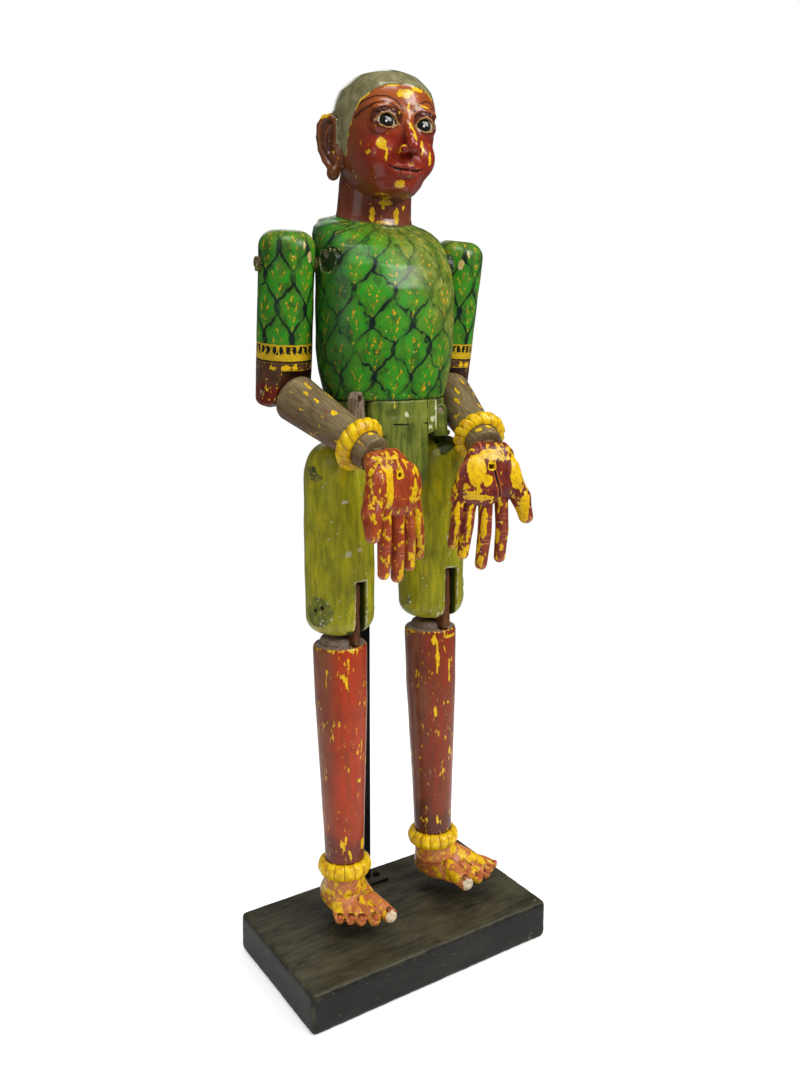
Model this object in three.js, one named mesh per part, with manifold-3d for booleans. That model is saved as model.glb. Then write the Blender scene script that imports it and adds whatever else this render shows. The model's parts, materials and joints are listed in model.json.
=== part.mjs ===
// A painted wooden puppet, a jointed standing figure held up by a steel post on a black block.
// Millimetres, +Z up. The figure faces -Y and +X is its left. Origin: centre of the block's underside.
import * as THREE from 'three';
import { mergeVertices } from 'three/addons/utils/BufferGeometryUtils.js';
import ManifoldModule from 'manifold-3d';

const wasm = await ManifoldModule();
wasm.setup();

// Clearances
const fit = 0.3; // between pieces that touch
const slide = 0.8; // each side of a tongue in its slot
const cutPast = 40; // how far a cutter reaches past what it cuts

// Stand
const baseWidth = 378;
const baseDepth = 214;
const baseHeight = 54;
const baseRound = 7;
const postWidth = 20;
const postDepth = 10;
const plateWidth = 64;
const plateDepth = 34;
const plateThick = 4;
const screwRadius = 3;
const screwHeadRadius = 5.5;
const screwHeadHeight = 2.5;
const bracketWidth = 46;
const bracketHeight = 40;
const bracketThick = 3;

// Figure: heights of the main joints above the floor, and the plane it hangs in
const figureY = 20;
const waistZ = 776;
const hipZ = 676;
const kneeZ = 503;
const soleZ = 74;
const shoulderZ = 951;
const collarZ = 1009;

// Pelvis
const pelvisHalfWidth = 84;
const pelvisHalfDepth = 57;
const pelvisHeight = 45;
const recessX = 52; // half width of the full front between the two hip recesses
const recessBackY = -7;
const sideLift = 4; // the pelvis is this much higher above the thighs
const crotchHalfWidth = 24.5;
const crotchHalfDepth = 43;
const crotchDrop = 91;
const crotchFaceHalfWidth = 34.5; // the full face in front of the thighs
const crotchFaceHalfDepth = 13;
const waistPegRadius = 16;
const waistPegUp = 36;
const waistPegDown = 34;

// Torso: height above the waist, half width, half depth, how far back its middle lies, rise to the back
const torsoShape = [
  [fit, 84, 57, 0, 0],
  [14, 87.5, 59, 0, 0],
  [39, 93, 62, 0, 0],
  [69, 97.5, 64.5, 0, 0],
  [104, 99, 66, 0, 0],
  [144, 99, 66, 0, 0],
  [174, 98, 64, 4, 0.02],
  [198, 96, 58, 14, 0.06],
  [212, 92, 52, 25, 0.1],
  [222, 84, 45, 34, 0.16],
  [229, 71, 42, 37, 0.22],
  [233, 57, 43, 31, 0.27],
];
const collarSlope = 0.27;
const neckBack = 30; // the neck stands this far behind the figure's middle
const neckHalfWidth = 53;
const neckHalfDepth = 41;
const neckDowelRadius = 12;
const neckDowelUp = 34;
const neckDowelDown = 40;
const plugRadius = 19;
const plugDepth = 29;
const plugProud = { left: 7, right: 3 };
const plugY = 3;
const plugZ = 961;

// Head: height above the collar, half width, half depth, middle's distance behind figureY
const skullShape = [
  [25, 20, 22, -22],
  [31, 35, 40, -13],
  [43, 47, 55, -4],
  [61, 56, 65, 1],
  [86, 62, 72, 6],
  [111, 65, 75, 8],
  [141, 65, 75, 9],
  [166, 58, 67, 9],
  [183, 42, 50, 9],
  [191, 24, 30, 9],
  [194, 8, 10, 9],
];
const noseShape = [
  [74, 7, 6, -64],
  [78, 12, 11, -69],
  [84, 12, 15, -70],
  [92, 9, 13, -68],
  [104, 6, 9, -65],
  [115, 5, 6, -62],
];
const earX = 75;
const earBack = 26;
const earRise = 94;
const earHalf = [8, 18.5, 42]; // thickness, breadth and height, halved
const earTurn = 35; // degrees the ear stands out
const earRootHalf = [14, 10, 26];

// Arms
const armX = 134.5;
const armBack = 26;
const armRadius = 36.3;
const armTopRise = 44; // dome above the shoulder dowel
const armDomeRadius = 22;
const dowelTurn = 12; // degrees the shoulder dowel's outer end lies back
const armHangBack = 8.6; // degrees the arm hangs behind upright
const upperArmReach = 163.5; // shoulder dowel to elbow pin
const elbowTurn = 25.6; // degrees the elbow is cut turned in
const elbowBend = 73.6; // degrees the forearm stands up from a straight arm
const elbowBelow = 20;
const elbowCeiling = 30;
const elbowPinRadius = 4;
const forearmShoulder = 22; // elbow pin to the forearm's flat end
const forearmBigRadius = 32;
const forearmWristRadius = 23.5;
const braceletAt = 157.7;
const wristAt = 197.5;
const wristBend = 65.9; // the hand back from the forearm's line, so that it hangs down
const elbowTongueThick = 24;
const elbowTongueRadius = 16;
const elbowUp = 10;
const elbowDown = 15;
const shoulderDowelRadius = 9;
const shoulderDowelInside = 36;
const shoulderDowelProud = 7;
const ringLobes = 15;
const braceletOuter = 38;
const braceletLong = 22;

// Hands hang down. Local frame at the wrist pin, palm facing -Y, thumb outward on +X.
const heelRadius = 14.5;
const wristTongueThick = 12;
const wristTongueRadius = 10.5;
const wristPinRadius = 3;
const wristSwing = 10;
const wristPinLength = 42;
const handMidY = -6;
const fingerRootZ = -58;
const palmShape = [
  [14.5, 9, 4, 0, 0],
  [11, 20, 9, 0, -1],
  [4, 28, 13, -1, -2],
  [-8, 33, 14.5, -3, -5],
  [-26, 38, 14.5, -8, -6],
  [-46, 38.5, 13, -15, -6],
  [-62, 36.5, 10.5, -18, -5],
];
// each finger: root x, tip x, tip z, root radius, tip radius
const fingers = [
  [10, 12, -144, 9, 7.6],
  [-10, -11, -153, 9.3, 8],
  [-28.5, -34, -139, 9, 7.6],
  [-46, -53, -127, 8.2, 6.8],
];
const thumbRoot = [18, -8, -18];
const thumbTip = [44, -20, -96];
const thumbRadii = [14, 10];

// Legs
const hipX = 74;
const thighRadius = 47;
const thighFootRadius = 45.5;
const thighBelowKnee = 36;
const thighRound = 20;
const hipTongueThick = 18;
const hipTongueHalf = 13;
const hipTongueRadius = 14;
const hipPinRadius = 9;
const hipPinProud = 4;
const hipSwing = 12; // degrees the thigh's mortise allows each way
const lugX = 62.5;
const lugHalf = 10.5;
const lugFrontY = -21;
const lugThick = 13;
const spreadPinZ = 759;
const spreadPinRadius = 5;
const spreadPinDeep = 36;
const linkPlateThick = 7;
const kneeBack = 2;
const kneePinRadius = 8;
const kneeDiscRadius = 20.5;
const kneeDiscThick = 3;
const kneeSlotWide = 20;
const kneeSlotRise = 40;
const kneeSlotDeep = 22; // behind the knee pin
const kneeTongueThick = 14;
const kneeTongueRise = 27;
const kneeTongueFront = 38;
const kneeTongueBack = 14;
const shinLean = 1.7; // degrees the shin hangs forward
const shinTopBelow = 53;
const shinEndBelow = 355;
const shinTopRadius = 36.5;
const shinEndRadius = 28;
const shinRimRound = 4;
const collarRadius = 27;
const collarRise = 9;

// Feet: local frame on the ankle's axis at the sole, toes towards -Y, little toe outward on +X
const ankleRadius = 26.5;
const ankletOuter = 37.5;
const ankletHigh = 24;
const ankleDowelRadius = 7;
const ankleDowelUp = 40;
const ankleDowelDown = 30;
// each row across the foot: y, half width, height, middle's distance outward
const footShape = {
  right: [
    [36, 12, 24, 1],
    [31, 21, 36, 1],
    [18, 27, 48, 0],
    [0, 29, 50, -1],
    [-16, 30, 42, -4],
    [-28, 31, 32, -7],
    [-40, 24, 24, -17],
  ],
  left: [
    [36, 11, 24, 5],
    [31, 18, 36, 5],
    [18, 24, 48, 6],
    [0, 28, 50, 12],
    [-16, 34, 42, 26],
    [-28, 38, 32, 40],
    [-42, 31, 24, 41],
  ],
};
// each toe: knuckle x and y, tip x and y, radius
const toes = {
  right: [
    [-24, -34, -35, -73, 10],
    [-11, -34, -12, -68, 9],
    [1, -28, 4, -57, 7.8],
    [10, -20, 15, -46, 7.4],
    [18, -12, 27, -35, 7.2],
  ],
  left: [
    [12, -32, 17, -69, 10.5],
    [32, -34, 43, -63, 7.8],
    [44, -30, 60.5, -57, 7.4],
    [52, -24, 74, -48, 7.2],
    [58, -16, 88, -40, 7],
  ],
};

// Paints and woods
const paint = (color, roughness = 0.45, metalness = 0) =>
  new THREE.MeshStandardMaterial({ color, roughness, metalness });
const blackPaint = paint(0x2b2821, 0.6);
const blackSteel = paint(0x101010, 0.4, 0.7);
const steel = paint(0x8a8a86, 0.35, 0.9);
const coatGreen = paint(0x3f8a2c, 0.35);
const pelvisGreen = paint(0x4f6a2e, 0.4);
const thighGreen = paint(0x8a9a28, 0.45);
const skinRed = paint(0x7b3a22, 0.35);
const forearmBrown = paint(0x76583a, 0.45);
const handRed = paint(0xb0502a, 0.4);
const shinRed = paint(0xa03a1e, 0.4);
const footTan = paint(0xb4683a, 0.45);
const ringYellow = paint(0xe6bd14, 0.4);
const rawWood = paint(0x9a8468, 0.7);

// Geometry helpers

// Keeps positions only, shares vertices, drops collapsed triangles and turns the faces out.
function welded(geometry) {
  const bare = geometry.clone();
  for (const name of Object.keys(bare.attributes)) {
    if (name !== 'position') bare.deleteAttribute(name);
  }
  const merged = mergeVertices(bare, 1e-3);
  const old = merged.index.array;
  const position = merged.attributes.position;
  const kept = [];
  const [a, b, c] = [new THREE.Vector3(), new THREE.Vector3(), new THREE.Vector3()];
  let volume = 0;
  for (let i = 0; i < old.length; i += 3) {
    const corners = [old[i], old[i + 1], old[i + 2]];
    if (new Set(corners).size < 3) continue;
    kept.push(...corners);
    [a, b, c].forEach((point, k) => point.fromBufferAttribute(position, corners[k]));
    volume += a.dot(b.cross(c));
  }
  if (volume < 0) kept.reverse();
  merged.setIndex(kept);
  return merged;
}

function solid(geometry) {
  const shape = welded(geometry);
  return new wasm.Manifold(new wasm.Mesh({
    numProp: 3,
    vertProperties: new Float32Array(shape.attributes.position.array),
    triVerts: new Uint32Array(shape.index.array),
  }));
}

function geometryOf(body) {
  const data = body.getMesh();
  const geometry = new THREE.BufferGeometry();
  geometry.setAttribute('position', new THREE.BufferAttribute(new Float32Array(data.vertProperties), 3));
  geometry.setIndex([...data.triVerts]);
  return geometry;
}

const joined = (...bodies) => bodies.reduce((whole, body) => whole.add(body));
const cut = (body, ...tools) => tools.reduce((whole, tool) => whole.subtract(tool), body);

function box(x, y, z) {
  const geometry = new THREE.BoxGeometry(x[1] - x[0], y[1] - y[0], z[1] - z[0]);
  return solid(geometry.translate((x[0] + x[1]) / 2, (y[0] + y[1]) / 2, (z[0] + z[1]) / 2));
}

// A solid turned round Z from a profile of [radius, z] that starts and ends on the axis.
function turned(profile, sides = 32) {
  const points = profile.map(([radius, z]) => new THREE.Vector2(radius, z));
  return solid(new THREE.LatheGeometry(points, sides).rotateX(Math.PI / 2));
}

// Moves a solid's own +Z onto the line from one point towards another.
function aimed(body, from, to) {
  const start = new THREE.Vector3(...from);
  const way = new THREE.Vector3(...to).sub(start).normalize();
  const turn = new THREE.Quaternion().setFromUnitVectors(new THREE.Vector3(0, 0, 1), way);
  const matrix = new THREE.Matrix4().compose(start, turn, new THREE.Vector3(1, 1, 1));
  return solid(geometryOf(body).applyMatrix4(matrix));
}

function rod(from, to, radius, sides = radius > 10 ? 20 : 14) {
  const length = new THREE.Vector3(...from).distanceTo(new THREE.Vector3(...to));
  return aimed(turned([[0, 0], [radius, 0], [radius, length], [0, length]], sides), from, to);
}

// A rounded finger or toe from one point to the end of its tip.
function digit(from, to, rootRadius, tipRadius, sides = 8) {
  const length = new THREE.Vector3(...from).distanceTo(new THREE.Vector3(...to));
  const profile = [[0, 0], [rootRadius, 0], [tipRadius, length - tipRadius]];
  const turn = THREE.MathUtils.degToRad(50);
  profile.push([tipRadius * Math.cos(turn), length - tipRadius + tipRadius * Math.sin(turn)], [0, length]);
  return aimed(turned(profile, sides), from, to);
}

// A plate with an outline in (y, z), from x[0] to x[1].
function plateAcross(outline, x) {
  const depth = x[1] - x[0];
  const geometry = new THREE.ExtrudeGeometry(outline, { depth, bevelEnabled: false, curveSegments: 10 });
  const yzx = new THREE.Matrix4().set(0, 0, 1, 0, 1, 0, 0, 0, 0, 1, 0, 0, 0, 0, 0, 1);
  return solid(geometry.applyMatrix4(yzx).translate(x[0], 0, 0));
}

// A plate with an outline in (x, z), from y[0] to y[1].
function plateFacing(outline, y) {
  const depth = y[1] - y[0];
  const geometry = new THREE.ExtrudeGeometry(outline, { depth, bevelEnabled: false, curveSegments: 10 });
  return solid(geometry.rotateX(Math.PI / 2).translate(0, y[1], 0));
}

const arcStep = 22; // degrees a side of a rounded outline turns, at most
const onArc = (x, y, radius, degrees) => {
  const angle = THREE.MathUtils.degToRad(degrees);
  return new THREE.Vector2(x + radius * Math.cos(angle), y + radius * Math.sin(angle));
};

// An outline made of points and arcs; an arc is [x, y, radius, from, to] in degrees.
function outline(steps) {
  const points = [];
  for (const step of steps) {
    if (step.length === 2) {
      points.push(new THREE.Vector2(...step));
      continue;
    }
    const [x, y, radius, from, to] = step;
    const parts = Math.max(2, Math.ceil(Math.abs(to - from) / arcStep));
    for (let i = 0; i <= parts; i += 1) points.push(onArc(x, y, radius, from + (to - from) * i / parts));
  }
  return new THREE.Shape(points);
}

// One level ring, a superellipse.
function oval(z, halfX, halfY, midX, midY, power = 2.2, count = 32) {
  const ring = [];
  for (let i = 0; i < count; i += 1) {
    const angle = i * 2 * Math.PI / count;
    const [c, s] = [Math.cos(angle), Math.sin(angle)];
    const x = midX + halfX * Math.sign(c) * Math.abs(c) ** (2 / power);
    const y = midY + halfY * Math.sign(s) * Math.abs(s) ** (2 / power);
    ring.push([x, y, z]);
  }
  return ring;
}

// Tips a level ring so that it rises to the back.
function sloped(ring, slope) {
  const middle = ring.reduce((sum, point) => sum + point[1], 0) / ring.length;
  return ring.map(([x, y, z]) => [x, y, z + slope * (y - middle)]);
}

// A skin over rings with the same number of points, closed at both ends.
function lofted(rings) {
  const count = rings[0].length;
  const positions = rings.flat(2);
  const index = [];
  rings.slice(1).forEach((ring, r) => {
    for (let i = 0; i < count; i += 1) {
      const a = r * count + i;
      const b = r * count + (i + 1) % count;
      index.push(a, b, b + count, a, b + count, a + count);
    }
  });
  const ends = [[rings[0], 0, false], [rings.at(-1), (rings.length - 1) * count, true]];
  for (const [ring, start, last] of ends) {
    const middle = positions.length / 3;
    positions.push(...[0, 1, 2].map((k) => ring.reduce((sum, point) => sum + point[k], 0) / count));
    for (let i = 0; i < count; i += 1) {
      const pair = [start + i, start + (i + 1) % count];
      index.push(...(last ? pair : pair.reverse()), middle);
    }
  }
  const geometry = new THREE.BufferGeometry();
  geometry.setAttribute('position', new THREE.Float32BufferAttribute(positions, 3));
  geometry.setIndex(index);
  return solid(geometry);
}

// A ring of carved lobes round Z: straight inside, bulging outside.
function lobedRing(inner, outer, high, lobes) {
  const perLobe = 2;
  const around = lobes * perLobe;
  const arcSteps = 5;
  const groove = 0.16;
  const positions = [];
  for (let j = 0; j < around; j += 1) {
    const angle = j * 2 * Math.PI / around;
    const bulge = (outer - inner) * (j % perLobe === 0 ? 1 - groove : 1);
    for (let k = 0; k <= arcSteps; k += 1) {
      const rise = Math.PI * (k / arcSteps - 0.5);
      const radius = inner + bulge * Math.cos(rise);
      positions.push(radius * Math.cos(angle), radius * Math.sin(angle), high / 2 * Math.sin(rise));
    }
  }
  const across = arcSteps + 1;
  const index = [];
  for (let j = 0; j < around; j += 1) {
    for (let k = 0; k < across; k += 1) {
      const [a, b] = [j * across + k, j * across + (k + 1) % across];
      const next = (j + 1) % around * across;
      index.push(a, b, next + (k + 1) % across, a, next + (k + 1) % across, next + k);
    }
  }
  const geometry = new THREE.BufferGeometry();
  geometry.setAttribute('position', new THREE.Float32BufferAttribute(positions, 3));
  geometry.setIndex(index);
  return solid(geometry);
}

const moved = (body, x, y, z) => body.translate([x, y, z]);

// Adds one named piece to a group. side -1 mirrors the piece for the figure's right.
function piece(group, name, body, material, side = 1) {
  const geometry = geometryOf(body);
  if (side < 0) geometry.scale(-1, 1, 1);
  const shape = welded(geometry);
  shape.computeVertexNormals();
  const mesh = new THREE.Mesh(shape, material);
  mesh.name = name;
  group.add(mesh);
  return mesh;
}

// A turning frame inside another, for one side of the figure.
function frameIn(parent, name, side, position, turn = {}) {
  const group = new THREE.Group();
  group.name = name;
  group.position.set(side * position[0], position[1], position[2]);
  group.rotation.x = THREE.MathUtils.degToRad(turn.x ?? 0);
  group.rotation.z = THREE.MathUtils.degToRad(turn.z ?? 0) * side;
  parent.add(group);
  return group;
}

const puppet = new THREE.Group();

// Stand
const pelvisBackY = figureY + pelvisHalfDepth;
const postFrontY = pelvisBackY + fit + bracketThick + fit;
const postBackY = postFrontY + postDepth;
const postMidY = (postFrontY + postBackY) / 2;
const plateZ = baseHeight + fit;
const postTopZ = waistZ - 8;

function screw(from, to) {
  const head = new THREE.Vector3(...from);
  const way = new THREE.Vector3(...to).sub(head).normalize().multiplyScalar(screwHeadHeight);
  const under = head.clone().add(way).toArray();
  return joined(rod(from, under, screwHeadRadius, 12), rod(under, to, screwRadius, 8));
}

function baseBlock() {
  const flat = outline([
    [baseWidth / 2 - baseRound, baseDepth / 2 - baseRound, baseRound, 0, 90],
    [-baseWidth / 2 + baseRound, baseDepth / 2 - baseRound, baseRound, 90, 180],
    [-baseWidth / 2 + baseRound, -baseDepth / 2 + baseRound, baseRound, 180, 270],
    [baseWidth / 2 - baseRound, -baseDepth / 2 + baseRound, baseRound, 270, 360],
  ]);
  const bevel = baseRound / 2;
  const block = new THREE.ExtrudeGeometry(flat, {
    depth: baseHeight - 2 * bevel,
    bevelThickness: bevel,
    bevelSize: bevel,
    bevelOffset: -bevel,
    bevelSegments: 2,
  });
  return solid(block.translate(0, 0, bevel));
}

const plateDip = plateDepth / 2;
const plateMidY = Math.min(postMidY, baseDepth / 2 - baseRound - plateDip);
const plateScrewX = (postWidth / 2 + plateWidth / 2) / 2;
const plateScrewSpots = [-1, 1].map((side) => [side * plateScrewX, plateMidY]);
const plateScrewDeep = 26;
const plateScrews = plateScrewSpots.map(([x, y]) => {
  const top = plateZ + plateThick + fit + screwHeadHeight;
  return screw([x, y, top], [x, y, plateZ + plateThick - plateScrewDeep]);
});
const sideNames = ['right', 'left'];
const plateHoles = plateScrewSpots.map(([x, y]) =>
  rod([x, y, plateZ + plateThick + 1], [x, y, plateZ + plateThick - plateScrewDeep - 1], screwRadius + fit, 8));

const footPlate = box(
  [-plateWidth / 2, plateWidth / 2],
  [plateMidY - plateDip, plateMidY + plateDip],
  [plateZ, plateZ + plateThick],
);
piece(puppet, 'base_block', cut(baseBlock(), ...plateHoles), blackPaint);
piece(puppet, 'post_foot_plate', cut(footPlate, ...plateHoles), blackSteel);
plateScrews.forEach((body, i) => piece(puppet, `foot_plate_screw_${sideNames[i]}`, body, steel));
piece(puppet, 'stand_post', box(
  [-postWidth / 2, postWidth / 2],
  [postFrontY, postBackY],
  [plateZ + plateThick + fit, postTopZ],
), blackSteel);

const bracketMidZ = postTopZ - bracketHeight / 2;
const bracketBackY = pelvisBackY + fit + bracketThick;
const bracketSpots = [-1, 1].map((side) => [side * (postWidth / 2 + bracketWidth / 2) / 2, bracketMidZ]);
const bracketScrewDeep = 24;
const bracketScrews = bracketSpots.map(([x, z]) =>
  screw([x, bracketBackY + fit + screwHeadHeight, z], [x, bracketBackY - bracketScrewDeep, z]));
const bracketHoles = bracketSpots.map(([x, z]) =>
  rod([x, bracketBackY + 1, z], [x, bracketBackY - bracketScrewDeep - 1, z], screwRadius + fit, 8));
const bracket = box(
  [-bracketWidth / 2, bracketWidth / 2],
  [pelvisBackY + fit, bracketBackY],
  [bracketMidZ - bracketHeight / 2, postTopZ],
);
piece(puppet, 'back_bracket', cut(bracket, ...bracketHoles), blackSteel);
bracketScrews.forEach((body, i) => piece(puppet, `bracket_screw_${sideNames[i]}`, body, steel));

// Pelvis, the fixed middle of the figure
const pelvisBottomZ = waistZ - pelvisHeight;
const waistPeg = (room) => rod(
  [0, figureY, waistZ - waistPegDown - room],
  [0, figureY, waistZ + waistPegUp + room],
  waistPegRadius + room,
);

function spreadPin(room) {
  const front = lugFrontY + 2;
  return rod([lugX, front - (room ? 3 : 0), spreadPinZ], [lugX, front + spreadPinDeep + room, spreadPinZ],
    spreadPinRadius + room, 16);
}

const mirroredX = (body) => solid(geometryOf(body).scale(-1, 1, 1));

function pelvisBlock() {
  const block = lofted([
    oval(pelvisBottomZ, pelvisHalfWidth - 3, pelvisHalfDepth - 1, 0, figureY),
    oval(pelvisBottomZ + 6, pelvisHalfWidth, pelvisHalfDepth, 0, figureY),
    oval(waistZ, pelvisHalfWidth, pelvisHalfDepth, 0, figureY),
  ]);
  const drop = (share) => pelvisBottomZ + 8 - (crotchDrop + 8) * share;
  const crotch = lofted([
    oval(drop(1), 8, 15, 0, figureY, 2.6, 24),
    oval(drop(0.96), 17, 28, 0, figureY, 2.6, 24),
    oval(drop(0.82), crotchHalfWidth - 1, crotchHalfDepth - 6, 0, figureY, 2.6, 24),
    oval(drop(0.5), crotchHalfWidth, crotchHalfDepth, 0, figureY, 2.6, 24),
    oval(drop(0), crotchHalfWidth, crotchHalfDepth + 6, 0, figureY, 2.6, 24),
  ]);
  const faceMidY = figureY - pelvisHalfDepth + crotchFaceHalfDepth;
  const faceRing = (share, narrower, back) => oval(
    drop(share),
    crotchFaceHalfWidth - narrower,
    crotchFaceHalfDepth - back,
    0,
    faceMidY + back,
    4,
    24,
  );
  const face = lofted([
    faceRing(1, 22, 9),
    faceRing(0.95, 11, 4),
    faceRing(0.85, 4, 1.5),
    faceRing(0.7, 0.5, 0.5),
    faceRing(0, 0, 0),
  ]);
  const sideways = [recessX, pelvisHalfWidth + cutPast];
  const frontY = figureY - pelvisHalfDepth - cutPast;
  const backY = figureY + pelvisHalfDepth + cutPast;
  const recess = box(sideways, [frontY, recessBackY], [pelvisBottomZ - 1, waistZ + 1]);
  const lift = box(sideways, [frontY, backY], [pelvisBottomZ - 1, pelvisBottomZ + sideLift]);
  const cuts = [recess, lift, spreadPin(fit)];
  return cut(joined(block, crotch, face), ...cuts, ...cuts.map(mirroredX), waistPeg(fit), ...bracketHoles);
}
piece(puppet, 'pelvis_block', pelvisBlock(), pelvisGreen);
piece(puppet, 'waist_peg', waistPeg(0), rawWood);

// Torso with its plugs and the dowels that the arms turn on
const armY = figureY + armBack;
const neckY = figureY + neckBack;
const shoulderPlace = new THREE.Matrix4()
  .makeRotationZ(THREE.MathUtils.degToRad(dowelTurn))
  .setPosition(armX, armY, shoulderZ);
// The neck's dowel stands square to the sloping collar.
const alongNeck = (reach) => {
  const length = Math.hypot(1, collarSlope);
  return [0, neckY - collarSlope * reach / length, collarZ + reach / length];
};
const neckDowel = (room) =>
  rod(alongNeck(-neckDowelDown - room), alongNeck(neckDowelUp + room), neckDowelRadius + room);
const torsoSkin = (grown) => lofted(torsoShape.map(([rise, halfX, halfY, back, slope]) =>
  sloped(oval(waistZ + rise, halfX + grown, halfY + grown, 0, figureY + back, 2.15, 32), slope)));
const plugBore = (room) => rod(
  [torsoHalfAt(plugZ) - plugDepth - room, plugY, plugZ],
  [torsoHalfAt(plugZ) + cutPast, plugY, plugZ],
  plugRadius + room,
);
// The plug's end follows the chest's side and stands a little proud of it.
const sidePlug = (proud) => plugBore(0).intersect(torsoSkin(proud));

function torsoHalfAt(z) {
  const above = torsoShape.findIndex(([rise]) => waistZ + rise > z);
  const [low, high] = [torsoShape[above - 1], torsoShape[above]];
  const share = (z - waistZ - low[0]) / (high[0] - low[0]);
  return low[1] + (high[1] - low[1]) * share;
}

// The shoulder dowel's own frame lies where the arm's axis crosses it.
const shoulderDowel = (room) => rod(
  [torsoHalfAt(shoulderZ) - shoulderDowelInside - armX - room, 0, 0],
  [armRadius + shoulderDowelProud + room, 0, 0],
  shoulderDowelRadius + room,
);
const shoulderBore = solid(geometryOf(shoulderDowel(fit)).applyMatrix4(shoulderPlace));

const torsoCuts = [plugBore(fit), shoulderBore];
piece(puppet, 'torso', cut(
  torsoSkin(0),
  ...torsoCuts,
  ...torsoCuts.map(mirroredX),
  waistPeg(fit),
  neckDowel(fit),
), coatGreen);

// Head and neck, one carving
function headBody() {
  const rings = (shape, count) => shape.map(([rise, halfX, halfY, back]) =>
    oval(collarZ + rise, halfX, halfY, 0, figureY + back, 2.1, count));
  const throat = (rise, wider, deeper, forward, slope) =>
    sloped(oval(collarZ + rise, neckHalfWidth + wider, neckHalfDepth + deeper, 0, neckY - forward, 2, 24), slope);
  const neck = lofted([
    throat(fit, 1, 1, 0, collarSlope),
    throat(13, -1, -1, 0, collarSlope),
    throat(40, -2, -1, 2, 0.12),
    throat(72, -5, -4, 5, 0),
  ]);
  const egg = (half, turn, x, back) => solid(
    new THREE.SphereGeometry(1, 10, 6).rotateX(Math.PI / 2).scale(...half)
      .rotateZ(-THREE.MathUtils.degToRad(turn)).translate(x, figureY + back, collarZ + earRise),
  );
  const ear = joined(
    egg(earHalf, earTurn, earX, earBack),
    egg(earRootHalf, 0, earX - earRootHalf[0] + 2, earBack - 12),
  );
  return joined(lofted(rings(skullShape, 26)), neck, lofted(rings(noseShape, 8)), ear, mirroredX(ear));
}
piece(puppet, 'head', cut(headBody(), neckDowel(fit)), skinRed);
piece(puppet, 'neck_dowel', neckDowel(0), rawWood);

// Arms. Outlines below lie in (y, z) round a joint's pin, with -y to the front.

// What the elbow takes out of the upper arm: all in front of the turning forearm's flat end.
function elbowNotch() {
  const reach = armRadius * 2;
  const upper = 90 - elbowBend - elbowUp; // how far below level the raised forearm points
  const face = forearmShoulder - slide;
  const slope = Math.tan(THREE.MathUtils.degToRad(upper));
  const faceFar = face / Math.cos(THREE.MathUtils.degToRad(upper)) + elbowCeiling * slope;
  return plateAcross(outline([
    [-faceFar, elbowCeiling],
    [-reach, elbowCeiling],
    [-reach, -reach],
    [0, -reach],
    [0, -face],
    [0, 0, face, 270, 180 + upper],
  ]), [-reach, reach]);
}

// The slot a tongue needs: the tongue ends round its pin and swings between two directions.
function sweptSlot(tongueRadius, tongueThick, from, to) {
  const radius = tongueRadius + slide;
  const half = tongueThick / 2 + slide;
  const far = armRadius * 2;
  const firstEdge = onArc(0, 0, radius, from - 90).add(onArc(0, 0, far, from));
  const lastEdge = onArc(0, 0, radius, to + 90).add(onArc(0, 0, far, to));
  return plateAcross(outline([
    firstEdge.toArray(),
    onArc(0, 0, far * 1.3, (from + to) / 2).toArray(),
    lastEdge.toArray(),
    [0, 0, radius, to + 90, from + 270],
  ]), [-half, half]);
}
const elbowSlot = () =>
  sweptSlot(elbowTongueRadius, elbowTongueThick, 270 - elbowBend - elbowUp, 270 - elbowBend + elbowDown);
const wristSlot = () =>
  sweptSlot(wristTongueRadius, wristTongueThick, 90 - wristBend - wristSwing, 90 - wristBend + wristSwing);

function upperArmBody() {
  const bottom = -upperArmReach - elbowBelow;
  const round = 9;
  const domeFlat = armRadius - armDomeRadius;
  const profile = [
    [0, bottom],
    [armRadius - round, bottom],
    [armRadius - 2.6, bottom + 2.6],
    [armRadius + 0.5, bottom + round],
  ];
  for (const angle of [0, 22, 45, 68, 90]) {
    const turn = THREE.MathUtils.degToRad(angle);
    profile.push([
      domeFlat + armDomeRadius * Math.cos(turn),
      armTopRise - armDomeRadius + armDomeRadius * Math.sin(turn),
    ]);
  }
  profile.push([0, armTopRise]);
  return turned(profile, 24);
}

// Turns a cutter made round the elbow pin into the upper arm's own frame.
function atElbow(body) {
  const geometry = geometryOf(body).rotateZ(-THREE.MathUtils.degToRad(elbowTurn));
  return solid(geometry.translate(0, 0, -upperArmReach));
}

const elbowPinHalf = armRadius + 0.4;
const crossPin = (half, radius, sides) => rod([-half, 0, 0], [half, 0, 0], radius, sides);
const elbowPin = (room) => crossPin(elbowPinHalf + room, elbowPinRadius + room, 14);
const wristPin = (room) => crossPin(wristPinLength / 2 + room, wristPinRadius + room, 12);

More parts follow.
